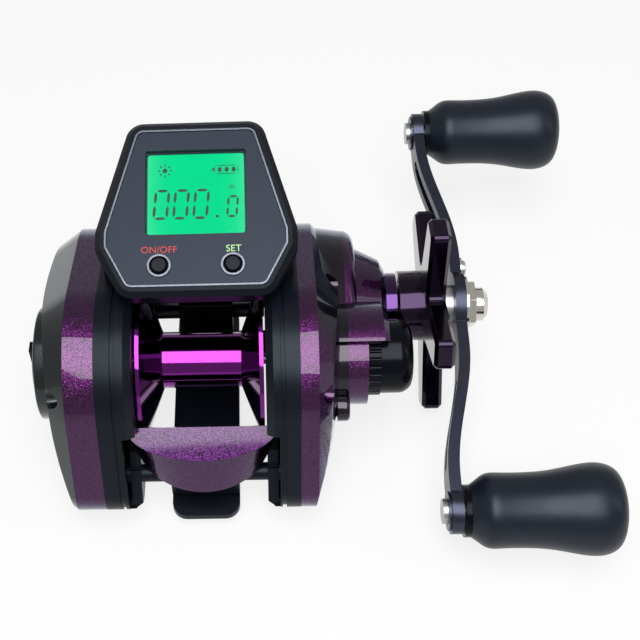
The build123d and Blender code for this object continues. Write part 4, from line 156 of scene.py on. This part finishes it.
# %% Sums of sockets
class Reading:
    """One output socket of a finish's tree, which adds its own Math nodes."""

    def __init__(self, finish, socket):
        self.finish = finish
        self.socket = socket

    def sum_with(self, kind, first, second):
        settings = {"operation": kind}
        return self.finish.step("ShaderNodeMath", settings, {0: first, 1: second})[0]

    def __add__(self, other):
        return self.sum_with("ADD", self, other)

    def __sub__(self, other):
        return self.sum_with("SUBTRACT", self, other)

    def __mul__(self, other):
        return self.sum_with("MULTIPLY", self, other)

    def __gt__(self, other):
        return self.sum_with("GREATER_THAN", self, other)

    def __lt__(self, other):
        return self.sum_with("LESS_THAN", self, other)

    def __rsub__(self, other):
        return self.sum_with("SUBTRACT", other, self)

    __radd__ = __add__
    __rmul__ = __mul__


class Step:
    """A node whose outputs are taken by name or number as readings."""

    def __init__(self, finish, node):
        self.finish = finish
        self.node = node

    def __getitem__(self, key):
        return Reading(self.finish, self.node.outputs[key])


class Finish:
    """A material of this reel, with its node tree."""

    def __init__(self, name):
        self.material = bpy.data.materials.new(name)
        self.material.use_nodes = True
        self.tree = self.material.node_tree
        self.tree.nodes.clear()

    def step(self, kind, settings=None, inputs=None):
        """Adds a node with its settings; inputs are readings to link or plain values."""
        node = self.tree.nodes.new(kind)
        for key, value in (settings or {}).items():
            setattr(node, key, value)
        for key, value in (inputs or {}).items():
            socket = node.inputs[key]
            if isinstance(value, Reading):
                self.tree.links.new(value.socket, socket)
            else:
                socket.default_value = value[:3] if socket.type == "VECTOR" else value
        return Step(self, node)

    def blend(self, factor, first, second):
        """A colour between two colours or colour readings."""
        settings = {"data_type": "RGBA"}
        return self.step("ShaderNodeMix", settings, {0: factor, 6: first, 7: second})[2]

    def shaded(self, colour, amount):
        """A colour made lighter or darker by a reading."""
        settings = {"operation": "SCALE"}
        return self.step("ShaderNodeVectorMath", settings, {0: colour, "Scale": amount})[0]

    def surface(self, **sockets):
        """Closes the tree with one shader, whose sockets are named with _ for a space."""
        inputs = {key.replace("_", " "): value for key, value in sockets.items()}
        shader = self.step("ShaderNodeBsdfPrincipled", None, inputs)
        self.step("ShaderNodeOutputMaterial", None, {"Surface": shader["BSDF"]})
        return self.material


def shade(red, green, blue):
    return (red, green, blue, 1.0)


# %% [markdown]
# ## Edges that catch light
# No moulded or machined edge is truly sharp. A fine line of light along each edge is
# what makes a part look solid, so every hard finish rounds its normal by a fraction of
# a millimetre at the edges, on top of its own grain.

# %% Grain and rounded edges
EDGE_ROUND = 0.12 * MM
COOL = (0.76, 0.88, 1.0, 1.0)


def rounded_edge(finish):
    """The surface's normal, rounded at its edges."""
    return finish.step("ShaderNodeBevel", {"samples": 4}, {"Radius": EDGE_ROUND})["Normal"]


def rounded_grain(finish, places, grain_size, depth):
    """A normal with rounded edges and a fine grain of that size and depth."""
    corner = rounded_edge(finish)
    grain = finish.step(
        "ShaderNodeTexNoise", None, {"Vector": places, "Scale": 1 / grain_size, "Detail": 2.0}
    )["Fac"]
    inputs = {"Height": grain, "Distance": depth, "Strength": 1.0, "Normal": corner}
    return finish.step("ShaderNodeBump", None, inputs)["Normal"]


def patchy(finish, places, size, low, high):
    """A number that drifts slowly between low and high over the surface."""
    noise = finish.step(
        "ShaderNodeTexNoise", None, {"Vector": places, "Scale": 1 / size, "Detail": 3.0}
    )["Fac"]
    return noise * (high - low) + low


def satin(name, colour, roughness, grain_size, depth, metallic=0.0, specular=0.5):
    """A coat or moulding with a grain, whose gloss drifts a little over the surface."""
    finish = Finish(name)
    places = finish.step("ShaderNodeTexCoord")["Object"]
    tone = patchy(finish, places, 6 * MM, 0.86, 1.14)
    speck = patchy(finish, places, grain_size * 2, 0.9, 1.1)
    return finish.surface(
        Base_Color=finish.shaded(shade(*colour), tone * speck),
        Roughness=patchy(finish, places, 3 * MM, roughness - 0.05, roughness + 0.05),
        Metallic=metallic,
        Specular_IOR_Level=specular,
        Specular_Tint=COOL,
        Normal=rounded_grain(finish, places, grain_size, depth),
    )


SATIN = {
    "slate_coat": ((0.0035, 0.0045, 0.0085), 0.34, 0.12, 0.004, 0.0, 0.17),
    "housing_black": ((0.003, 0.004, 0.007), 0.38, 0.16, 0.005, 0.0, 0.14),
    "panel_slate": ((0.016, 0.021, 0.034), 0.46, 0.10, 0.002, 0.0, 0.3),
    "grip_black": ((0.005, 0.007, 0.013), 0.38, 0.10, 0.003, 0.0, 0.34),
    "gloss_moulding": ((0.002, 0.002, 0.004), 0.20, 0.3, 0.001, 0.0, 0.11),
    "inner_black": ((0.0008, 0.0008, 0.0015), 0.45, 0.2, 0.004, 0.0, 0.06),
    "soft_plug": ((0.012, 0.012, 0.014), 0.62, 0.14, 0.006, 0.0, 0.5),
    "drag_fibre": ((0.020, 0.020, 0.022), 0.5, 0.4, 0.02, 0.0, 0.5),
    "battery_wrap": ((0.40, 0.42, 0.44), 0.35, 0.8, 0.01, 0.4, 0.5),
    "board_green": ((0.010, 0.10, 0.035), 0.35, 0.5, 0.01, 0.0, 0.5),
    "guide_ceramic": ((0.16, 0.16, 0.17), 0.12, 0.4, 0.001, 0.0, 0.5),
}
# Each row is the colour, the roughness, the grain's size and depth in millimetres, and
# the shares of metal and of specular light.
satins = {
    name: satin(name, colour, roughness, size * MM, depth * MM, metallic, specular)
    for name, (colour, roughness, size, depth, metallic, specular) in SATIN.items()
}
print("satin finishes:", len(satins))

# %% [markdown]
# ## Turned and plated metal
# Shafts, screws and bearings keep the fine rings of the lathe. Rings about the
# spool's direction are a wave along X, which is the axis of nearly every turned piece
# here, and they are so fine that they show as a soft sheen only.


# %% Turned metal
WAVE_RATE = 20


def turned(name, colour, roughness, ring=0.18 * MM, depth=0.002 * MM):
    finish = Finish(name)
    places = finish.step("ShaderNodeTexCoord")["Object"]
    rings = finish.step(
        "ShaderNodeTexWave",
        {"bands_direction": "X", "wave_profile": "SAW"},
        {"Vector": places, "Scale": 1 / ring / WAVE_RATE, "Distortion": 0.6, "Detail": 1.0},
    )["Fac"]
    corner = rounded_edge(finish)
    inputs = {"Height": rings, "Distance": depth, "Strength": 0.6, "Normal": corner}
    return finish.surface(
        Base_Color=finish.shaded(shade(*colour), patchy(finish, places, 2 * MM, 0.9, 1.08)),
        Roughness=rings * 0.08 + roughness,
        Metallic=1.0,
        Normal=finish.step("ShaderNodeBump", None, inputs)["Normal"],
    )


turned_steel = turned("turned_steel", (0.46, 0.46, 0.48), 0.26)
bright_nickel = turned("bright_nickel", (0.66, 0.63, 0.58), 0.10, 0.3 * MM, 0.001 * MM)
bezel_silver = turned("bezel_silver", (0.40, 0.41, 0.43), 0.30, 0.3 * MM, 0.001 * MM)
trim_grey = turned("trim_grey", (0.14, 0.15, 0.18), 0.34, 0.3 * MM, 0.001 * MM)
machined_brass = turned("machined_brass", (0.56, 0.38, 0.14), 0.24)
magnet_nickel = turned("magnet_nickel", (0.50, 0.50, 0.52), 0.16, 0.4 * MM, 0.001 * MM)

# %% [markdown]
# ## Flake paint
# The purple paint is metal flake under clear lacquer. Each flake is a tiny mirror with
# its own tilt, so the colour sparkles, while the lacquer above stays smooth and shows
# the softbox as a pale lavender patch. Cells of a Voronoi texture stand for the flakes:
# one random colour tilts the normal and changes the brightness.

# %% Flakes
FLAKE = 0.15 * MM
FLAKE_TILT = 0.34
COAT_INDEX = 1.36


def flakes(finish, places):
    """The tilted normal of each flake, and its own brightness."""
    cell = finish.step(
        "ShaderNodeTexVoronoi", {"feature": "F1"}, {"Vector": places, "Scale": 1 / FLAKE}
    )["Color"]

    def vector(kind, inputs):
        return finish.step("ShaderNodeVectorMath", {"operation": kind}, inputs)[0]

    centred = vector("SUBTRACT", {0: cell, 1: (0.5, 0.5, 0.5)})
    lean = vector("SCALE", {0: centred, "Scale": FLAKE_TILT})
    corner = rounded_edge(finish)
    leaned = vector("ADD", {0: corner, 1: lean})
    normal = vector("NORMALIZE", {0: leaned})
    return normal, finish.step("ShaderNodeSeparateColor", None, {"Color": cell})["Red"]


SPARKLE = 1.3


def flake_paint(name, colour, roughness):
    finish = Finish(name)
    places = finish.step("ShaderNodeTexCoord")["Object"]
    normal, bright = flakes(finish, places)
    return finish.surface(
        Base_Color=finish.shaded(shade(*colour), bright * SPARKLE + (1 - SPARKLE / 2)),
        Roughness=patchy(finish, places, 5 * MM, roughness - 0.04, roughness + 0.04),
        Metallic=1.0,
        Normal=normal,
        Coat_Weight=1.0,
        Coat_IOR=COAT_INDEX,
        Coat_Roughness=0.05,
    )


purple_flake = flake_paint("purple_flake", (0.046, 0.009, 0.062), 0.28)

# %% [markdown]
# ## Banded side plates
# Both side plates are black lacquer with a band of the flake paint next to the frame.
# The band ends on a sharp line round the plate, so the line is a test on X, and the two
# finishes share one shader: the test mixes the colour, the metal and the tilt. On the
# right the paint also covers the facet beside the band and all that stands out past the
# plate's face. On the facet the purple fades to black by height towards the gear hump:
# that fade is painted shading, as one paint looks purple low down and black higher up
# under this light, and it is not an edge of the paint.


# %% Side plate paint
BAND_LEFT = -28.1 * MM
BAND_RIGHT = 25.0 * MM
FACET_END = 28.0 * MM
# Heights in the camera's up direction between which the facet's painted shading turns the purple
# to black.
FACET_SHADING_FADE = (24 * MM, 17 * MM)
FACET_RISE = (0.785, 0.62)
OUTER_START = 31.9 * MM


def banded_plate(name, band_start, band_end, black, colour, dark_metal, outer=False):
    finish = Finish(name)
    places = finish.step("ShaderNodeTexCoord")["Object"]
    parts = finish.step("ShaderNodeSeparateXYZ", None, {"Vector": places})
    along = parts["X"]
    band = (along > band_start) * (along < band_end)
    if outer:
        # Painted shading: the facet's purple fades to black by height towards the gear hump,
        # though the paint is one.
        rise = parts["Y"] * FACET_RISE[0] + parts["Z"] * FACET_RISE[1]
        fade = {0: rise, 1: FACET_SHADING_FADE[1], 2: FACET_SHADING_FADE[0], 3: 1.0, 4: 0.0}
        painted_shading = finish.step("ShaderNodeMapRange", {"clamp": True}, fade)[0]
        facet = (along > band_end) * (along < FACET_END) * painted_shading
        band = band + facet + (along > OUTER_START)
    normal, bright = flakes(finish, places)
    sparkle = finish.shaded(shade(*colour), bright * SPARKLE + (1 - SPARKLE / 2))
    plain = finish.shaded(shade(*black), patchy(finish, places, 8 * MM, 0.8, 1.2))
    smooth = rounded_edge(finish)
    tilt = finish.step(
        "ShaderNodeMix", {"data_type": "VECTOR"}, {0: band, 4: smooth, 5: normal}
    )[1]
    return finish.surface(
        Base_Color=finish.blend(band, plain, sparkle),
        Roughness=band * 0.08 + 0.20,
        Metallic=band * (1 - dark_metal) + dark_metal,
        Specular_IOR_Level=0.3,
        Specular_Tint=COOL,
        Normal=tilt,
        Coat_Weight=1.0,
        Coat_IOR=COAT_INDEX,
        Coat_Roughness=0.04,
    )


PURPLE_BAND = (0.052, 0.008, 0.058)
LEFT_BLACK = (0.004, 0.007, 0.007)
RIGHT_BLACK = (0.012, 0.007, 0.014)
left_paint = banded_plate("left_paint", BAND_LEFT, 0, LEFT_BLACK, PURPLE_BAND, 0.3)
right_paint = banded_plate("right_paint", 0, BAND_RIGHT, RIGHT_BLACK, PURPLE_BAND, 0.9, True)


# %% [markdown]
# ## Anodised metal
# The spool, the drag sleeve and the handle are aluminium with a dyed skin. Dyed
# aluminium is a mirror of one colour: metallic, smooth, and with no lacquer over it.
# The handle's skin is blasted first, so it is duller.


# %% Anodised aluminium
def anodised(name, colour, roughness, coat):
    finish = Finish(name)
    places = finish.step("ShaderNodeTexCoord")["Object"]
    return finish.surface(
        Base_Color=finish.shaded(shade(*colour), patchy(finish, places, 4 * MM, 0.92, 1.08)),
        Roughness=patchy(finish, places, 2 * MM, roughness * 0.85, roughness * 1.15),
        Metallic=1.0,
        Normal=rounded_grain(finish, places, 0.3 * MM, 0.0006 * MM),
        Coat_Weight=coat,
        Coat_IOR=COAT_INDEX,
        Coat_Roughness=0.05,
    )


spool_magenta = anodised("spool_magenta", (0.15, 0.008, 0.18), 0.09, 0.5)
purple_anodised = anodised("purple_anodised", (0.036, 0.008, 0.070), 0.12, 0.7)
star_violet = anodised("star_violet", (0.012, 0.004, 0.020), 0.16, 0.5)
handle_slate = anodised("handle_slate", (0.046, 0.050, 0.074), 0.32, 0.0)

# %% [markdown]
# ## The display
# The green of the display is its own light, a little stronger at the two sides where
# the lamps are. The dark signs on it are thin solid shapes in their own layer, as they
# are in a real liquid crystal display.

# %% Display finishes
LCD_HALF_WIDTH = 10.3 * MM


def backlit_green():
    finish = Finish("backlit_green")
    places = finish.step("ShaderNodeTexCoord")["Object"]
    across = finish.step("ShaderNodeSeparateXYZ", None, {"Vector": places})["X"]
    reach = finish.step("ShaderNodeMath", {"operation": "ABSOLUTE"}, {0: across})[0]
    share = reach * (1 / LCD_HALF_WIDTH)
    side = finish.step("ShaderNodeMath", {"operation": "POWER"}, {0: share, 1: 5.0})[0]
    glow = finish.blend(side * 0.5, shade(0.001, 0.79, 0.30), shade(0.09, 0.93, 0.46))
    drift = patchy(finish, places, 5 * MM, 0.94, 1.06)
    return finish.surface(
        Base_Color=shade(0.0, 0.02, 0.01),
        Roughness=0.5,
        Specular_IOR_Level=0.0,
        Emission_Color=finish.shaded(glow, drift),
        Emission_Strength=1.0,
    )


def clear_window():
    finish = Finish("clear_window")
    places = finish.step("ShaderNodeTexCoord")["Object"]
    return finish.surface(
        Base_Color=shade(0.02, 0.05, 0.04),
        Roughness=patchy(finish, places, 4 * MM, 0.05, 0.09),
        Alpha=0.05,
        Specular_IOR_Level=0.2,
    )


def printed(name, colour):
    finish = Finish(name)
    places = finish.step("ShaderNodeTexCoord")["Object"]
    return finish.surface(
        Base_Color=finish.shaded(shade(*colour), patchy(finish, places, 1 * MM, 0.85, 1.1)),
        Roughness=0.5,
    )


display_green = backlit_green()
display_window = clear_window()
segment_dark = printed("segment_dark", (0.0, 0.045, 0.022))
label_red = printed("label_red", (0.50, 0.030, 0.025))
label_green = printed("label_green", (0.42, 0.72, 0.30))
print("finishes:", len(bpy.data.materials))

# %% [markdown]
# ## Smooth copies of the solids
# A solid arrives as loose triangles. A copy with its doubled points merged can be
# shaded smooth where faces meet softly and sharp where they meet at an edge. The copy
# then stands for the solid, rides on the same body and takes the same finish.

# %% Which finish goes on which piece
FINISHES = {
    satins["slate_coat"]: ["frame", "reel_foot"],
    left_paint: ["left_side_plate"],
    right_paint: ["right_side_plate"],
    satins["housing_black"]: ["counter_base", "counter_cover"],
    satins["panel_slate"]: ["panel_face"],
    satins["grip_black"]: ["front_knob", "rear_knob"],
    satins["gloss_moulding"]: [
        "brake_dial", "cast_control_cap", "on_off_button", "set_button", "worm_shield",
        "front_knob_bushes", "rear_knob_bushes",
    ],
    satins["inner_black"]: [
        "line_guide", "brake_plate", "clutch_yoke", "clutch_cam", "thumb_slide", "cast_shim",
        "spool_sensor",
    ],
    purple_flake: ["thumb_bar"],
    star_violet: ["star_drag"],
    purple_anodised: ["drive_sleeve", "drive_collar"],
    handle_slate: ["handle_arm"],
    spool_magenta: ["spool"],
    bezel_silver: ["knob_spindles"],
    trim_grey: ["panel_trim"],
    bright_nickel: ["handle_nut", "nut_retainer", "handle_screws"],
    turned_steel: [
        "body_screws", "spool_shaft", "spool_bearings", "gear_case_bearings", "one_way_bearing",
        "drive_shaft", "ratchet", "cup_springs", "handle_spacer", "worm_shaft", "frame_rods",
        "yoke_springs", "level_wind_pawl",
    ],
    machined_brass: ["pinion", "idler_gear", "drive_gear", "worm_gear"],
    magnet_nickel: ["brake_magnets", "spool_magnets"],
    satins["guide_ceramic"]: ["line_guide_ring"],
    satins["drag_fibre"]: ["drag_stack"],
    display_green: ["lcd_module"],
    display_window: ["lcd_window"],
    satins["board_green"]: ["circuit_board"],
    satins["battery_wrap"]: ["battery"],
    satins["soft_plug"]: ["port_plug"],
}
body_of_node = {n: b for b, ns in frame["record"]["behaviour"]["bodies"].items() for n in ns}

# %% Copies with merged points
MERGE_DISTANCE = 0.002 * MM
SMOOTH_ANGLE = radians(32)


def finished_copy(node, finish):
    """A smooth copy of a solid that stands for it."""
    solid = frame["nodes"][node]
    mesh = solid.data.copy()
    mesh.name = node + "_mesh"
    work = bmesh.new()
    work.from_mesh(mesh)
    bmesh.ops.remove_doubles(work, verts=work.verts, dist=MERGE_DISTANCE)
    for face in work.faces:
        face.smooth = True
        face.material_index = 0
    for edge in work.edges:
        edge.smooth = edge.is_manifold and edge.calc_face_angle(pi) < SMOOTH_ANGLE
    if "custom_normal" in mesh.attributes:
        mesh.attributes.remove(mesh.attributes["custom_normal"])
    work.to_mesh(mesh)
    work.free()
    mesh.materials.clear()
    mesh.materials.append(finish)
    copy = bpy.data.objects.new(node + "_skin", mesh)
    scene.collection.objects.link(copy)
    weighted = copy.modifiers.new("weighted", "WEIGHTED_NORMAL")
    weighted.keep_sharp = True
    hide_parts(node)
    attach(copy, body_of_node[node])
    return copy


skins = {}
for finish, nodes in FINISHES.items():
    for node in nodes:
        skins[node] = finished_copy(node, finish)
left_over = set(frame["nodes"]) - set(skins)
print("skins:", len(skins), "without a finish:", sorted(left_over))

# %% [markdown]
# ## Signs on the display
# A digit of such a display is made of straight segments with mitred ends. One segment
# is a six-sided bar, and a digit is that bar repeated, so the digits are points that
# carry a turn and a length, and Geometry Nodes puts the bar on each point.

# %% The panel as a drawing board
PANEL_TILT = radians(22)
panel_out = Vector((0, -sin(PANEL_TILT), cos(PANEL_TILT)))
panel_up = Vector((0, cos(PANEL_TILT), sin(PANEL_TILT)))
PANEL_START = Vector((0, -1.2, 49.9)) * MM
DISPLAY_RISE = 21.2 * MM


def top_level(node):
    """How far a piece stands out of the panel's plane."""
    return max((v.co - PANEL_START).dot(panel_out) for v in skins[node].data.vertices)


def on_panel(across, rise, level):
    """The matrix that lays a flat drawing on the panel."""
    place = PANEL_START + Vector((across, 0, 0)) + panel_up * rise + panel_out * level
    turn = Matrix((Vector((1, 0, 0)), panel_up, panel_out)).transposed().to_4x4()
    return Matrix.Translation(place) @ turn


# %% Bars on points
def bar_tree():
    """Geometry Nodes that put a mitred bar on each point, with its turn and size."""
    tree = bpy.data.node_groups.new("display_bars", "GeometryNodeTree")
    face = tree.interface
    face.new_socket("Geometry", in_out="INPUT", socket_type="NodeSocketGeometry")
    face.new_socket("Thickness", in_out="INPUT", socket_type="NodeSocketFloat")
    face.new_socket("Finish", in_out="INPUT", socket_type="NodeSocketMaterial")
    face.new_socket("Geometry", in_out="OUTPUT", socket_type="NodeSocketGeometry")
    new = tree.nodes.new
    link = tree.links.new
    given, result = new("NodeGroupInput"), new("NodeGroupOutput")
    bar = new("GeometryNodeMeshCircle")
    bar.fill_type = "NGON"
    bar.inputs["Vertices"].default_value = 6
    bar.inputs["Radius"].default_value = 0.5
    put = new("GeometryNodeInstanceOnPoints")
    turn, size = new("GeometryNodeInputNamedAttribute"), new("GeometryNodeInputNamedAttribute")
    turn.data_type = size.data_type = "FLOAT_VECTOR"
    turn.inputs["Name"].default_value = "turn"
    size.inputs["Name"].default_value = "size"
    real, thick, dress = (
        new("GeometryNodeRealizeInstances"),
        new("GeometryNodeExtrudeMesh"),
        new("GeometryNodeSetMaterial"),
    )
    link(given.outputs["Geometry"], put.inputs["Points"])
    link(bar.outputs["Mesh"], put.inputs["Instance"])
    link(turn.outputs["Attribute"], put.inputs["Rotation"])
    link(size.outputs["Attribute"], put.inputs["Scale"])
    link(put.outputs["Instances"], real.inputs["Geometry"])
    link(real.outputs["Geometry"], thick.inputs["Mesh"])
    link(given.outputs["Thickness"], thick.inputs["Offset Scale"])
    link(thick.outputs["Mesh"], dress.inputs["Geometry"])
    link(given.outputs["Finish"], dress.inputs["Material"])
    link(dress.outputs["Geometry"], result.inputs["Geometry"])
    return tree


BARS = bar_tree()
SIGN_THICKNESS = 0.05 * MM
SIGN_MERGE = 0.0005 * MM
SIGN_GAP = 0.01 * MM


def set_input(modifier, name, value):
    """Sets a modifier's input by its socket's identifier."""
    for item in modifier.node_group.interface.items_tree:
        if item.name == name and item.in_out == "INPUT":
            modifier[item.identifier] = value


def settle(carrier, name, place, body):
    """Turns an evaluated object into a plain mesh piece laid on the panel."""
    bpy.context.view_layer.update()
    graph = bpy.context.evaluated_depsgraph_get()
    mesh = bpy.data.meshes.new_from_object(carrier.evaluated_get(graph))
    bpy.data.objects.remove(carrier)
    mesh.transform(place)
    work = bmesh.new()
    work.from_mesh(mesh)
    bmesh.ops.remove_doubles(work, verts=work.verts, dist=SIGN_MERGE)
    bmesh.ops.recalc_face_normals(work, faces=work.faces)
    work.to_mesh(mesh)
    work.free()
    piece = bpy.data.objects.new(name, mesh)
    scene.collection.objects.link(piece)
    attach(piece, body)
    return piece


def bars(name, rows, finish, place):
    """A sign made of bars; each row is x, y, turn, length and width in millimetres."""
    mesh = bpy.data.meshes.new(name)
    mesh.from_pydata([(x * MM, y * MM, 0) for x, y, *_ in rows], [], [])
    turn = mesh.attributes.new("turn", "FLOAT_VECTOR", "POINT")
    size = mesh.attributes.new("size", "FLOAT_VECTOR", "POINT")
    for index, (_, _, angle, length, width) in enumerate(rows):
        turn.data[index].vector = (0, 0, radians(angle))
        size.data[index].vector = (length * MM, width * MM / cos(radians(30)), 1)
    carrier = bpy.data.objects.new(name + "_points", mesh)
    scene.collection.objects.link(carrier)
    modifier = carrier.modifiers.new("bars", "NODES")
    modifier.node_group = BARS
    set_input(modifier, "Thickness", SIGN_THICKNESS)
    set_input(modifier, "Finish", finish)
    return settle(carrier, name, place, "reel_body")


# %% Digits
SLANT = 5.0
LEVEL_SHARE = 0.86
UPRIGHT_SHARE = 0.88


def zero(x, y, width, height, stroke):
    """The six lit segments of a nought, leaning a little to the right."""
    half = height / 2
    lean = tan(radians(SLANT))
    long, short = half * UPRIGHT_SHARE, width * LEVEL_SHARE
    rows = [(x + end * half * lean, y + end * half, 0, short, stroke) for end in (1, -1)]
    for side in (-1, 1):
        for end in (-1, 1):
            middle = end * half / 2
            place = x + side * width / 2 + middle * lean
            rows.append((place, y + middle, 90 - SLANT, long, stroke))
    return rows


signs_level = top_level("lcd_module") + SIGN_GAP
display = on_panel(0, DISPLAY_RISE, signs_level)
digit_rows = []
for across in (-7.35, -3.15, 1.1):
    digit_rows += zero(across, -2.3, 2.75, 6.3, 0.6)
digit_rows += zero(7.75, -3.0, 1.95, 4.5, 0.48)
digit_rows.append((4.5, -5.2, 0, 0.9, 0.6))
bars("display_digits", digit_rows, segment_dark, display)

# %% Battery sign and lamp sign
battery_rows = [(5.1 + 1.5 * k, 5.5, 90, 1.3, 0.85) for k in range(3)]
battery_rows += [(6.5, 6.45, 0, 5.0, 0.16), (6.5, 4.55, 0, 5.0, 0.16)]
battery_rows += [(9.0, 5.5, 90, 1.9, 0.16), (4.05, 5.5, 90, 1.9, 0.16), (3.7, 5.5, 90, 1.0, 0.4)]
bars("battery_sign", battery_rows, segment_dark, display)
LAMP_PLACE = (-6.6, 5.5)
LAMP_REACH = 1.25
LAMP_RAYS = 8
lamp_rows = [(*LAMP_PLACE, 0, 1.15, 1.0)]
for k in range(LAMP_RAYS):
    angle = 360 / LAMP_RAYS * k
    ray_x = LAMP_PLACE[0] + LAMP_REACH * cos(radians(angle))
    ray_y = LAMP_PLACE[1] + LAMP_REACH * sin(radians(angle))
    lamp_rows.append((ray_x, ray_y, angle, 0.7, 0.26))
bars("lamp_sign", lamp_rows, segment_dark, display)
print("display bars:", len(digit_rows) + len(battery_rows) + len(lamp_rows))

# %% [markdown]
# ## Printed words
# The two buttons have a printed word each, so that a hand knows which is which. Text
# is a curve, so it is made a mesh before it is laid on the panel.


# %% Words on the panel
def word(name, text, height, finish, place):
    curve = bpy.data.curves.new(name, "FONT")
    curve.body = text
    curve.align_x = "CENTER"
    curve.align_y = "CENTER"
    curve.size = height * MM
    curve.extrude = SIGN_THICKNESS / 2
    curve.materials.append(finish)
    carrier = bpy.data.objects.new(name + "_curve", curve)
    scene.collection.objects.link(carrier)
    return settle(carrier, name, place, "reel_body")


print_level = top_level("panel_face") + SIGN_THICKNESS / 2
WORD_HEIGHT = 2.1
WORD_RISE = 8.15 * MM
METRE_HEIGHT = 1.7
on_off_place = on_panel(-7.7 * MM, WORD_RISE, print_level)
set_place = on_panel(7.9 * MM, WORD_RISE, print_level)
metre_place = on_panel(7.6 * MM, DISPLAY_RISE + 1.5 * MM, signs_level + SIGN_THICKNESS / 2)
word("on_off_word", "ON/OFF", WORD_HEIGHT, label_red, on_off_place)
word("set_word", "SET", WORD_HEIGHT, label_green, set_place)
word("metre_sign", "m", METRE_HEIGHT, segment_dark, metre_place)

# %% [markdown]
# ## Floor and world
# The reel stands on a plain white sheet. What the camera sees of it is white by its
# own light, while a part of it stays plain paint, so that the reel's soft shadow
# remains. Polished metal sees the same white sheet. The room round it is darker, as a
# studio is behind the camera, so that black coats stay black.

# %% White sheet
SHEET_SIZE = 3.0
SHEET_GLOW = 0.8
SHEET_DROP = 0.1 * MM
floor_finish = Finish("white_sheet")
rays = floor_finish.step("ShaderNodeLightPath")
seen = rays["Is Camera Ray"] + rays["Is Glossy Ray"] + rays["Is Transmission Ray"]
paint = floor_finish.step("ShaderNodeBsdfDiffuse", None, {"Color": shade(0.8, 0.8, 0.8)})["BSDF"]
plain_white = {"Color": shade(1, 1, 1), "Strength": 1.0}
glow = floor_finish.step("ShaderNodeEmission", None, plain_white)["Emission"]
own_light = {0: seen * SHEET_GLOW, 1: paint, 2: glow}
mixed = floor_finish.step("ShaderNodeMixShader", None, own_light)["Shader"]
floor_finish.step("ShaderNodeOutputMaterial", None, {"Surface": mixed})

sheet_mesh = bpy.data.meshes.new("white_sheet")
half = SHEET_SIZE / 2
sheet_mesh.from_pydata(
    [(-half, -half, 0), (half, -half, 0), (half, half, 0), (-half, half, 0)], [], [(0, 1, 2, 3)]
)
sheet_mesh.transform(Matrix.Translation((0, 0, solid_box[0].z - SHEET_DROP)))
sheet_mesh.materials.append(floor_finish.material)
sheet = bpy.data.objects.new("white_sheet", sheet_mesh)
scene.collection.objects.link(sheet)

# %% World
ROOM_LIGHT = 0.30
MIRROR_SHARE = 0.25
world = bpy.data.worlds.new("studio")
world.use_nodes = True
scene.world = world
room = world.node_tree
room.nodes.clear()
path = room.nodes.new("ShaderNodeLightPath")
mirrored = room.nodes.new("ShaderNodeMath")
mirrored.operation = "MULTIPLY_ADD"
room.links.new(path.outputs["Is Glossy Ray"], mirrored.inputs[0])
mirrored.inputs[1].default_value = MIRROR_SHARE
room.links.new(path.outputs["Is Transmission Ray"], mirrored.inputs[2])
either = room.nodes.new("ShaderNodeMath")
either.operation = "ADD"
either.use_clamp = True
room.links.new(path.outputs["Is Camera Ray"], either.inputs[0])
room.links.new(mirrored.outputs[0], either.inputs[1])
strength = room.nodes.new("ShaderNodeMapRange")
strength.inputs["To Min"].default_value = ROOM_LIGHT
strength.inputs["To Max"].default_value = 1.0
room.links.new(either.outputs[0], strength.inputs["Value"])
sky = room.nodes.new("ShaderNodeBackground")
sky.inputs["Color"].default_value = (1, 1, 1, 1)
room.links.new(strength.outputs[0], sky.inputs["Strength"])
out = room.nodes.new("ShaderNodeOutputWorld")
room.links.new(sky.outputs[0], out.inputs["Surface"])
scene.view_settings.view_transform = "Standard"

# %% [markdown]
# ## Sizes
# The dressed reel must be as large as its solids.

# %% Sizes
bpy.context.view_layer.update()
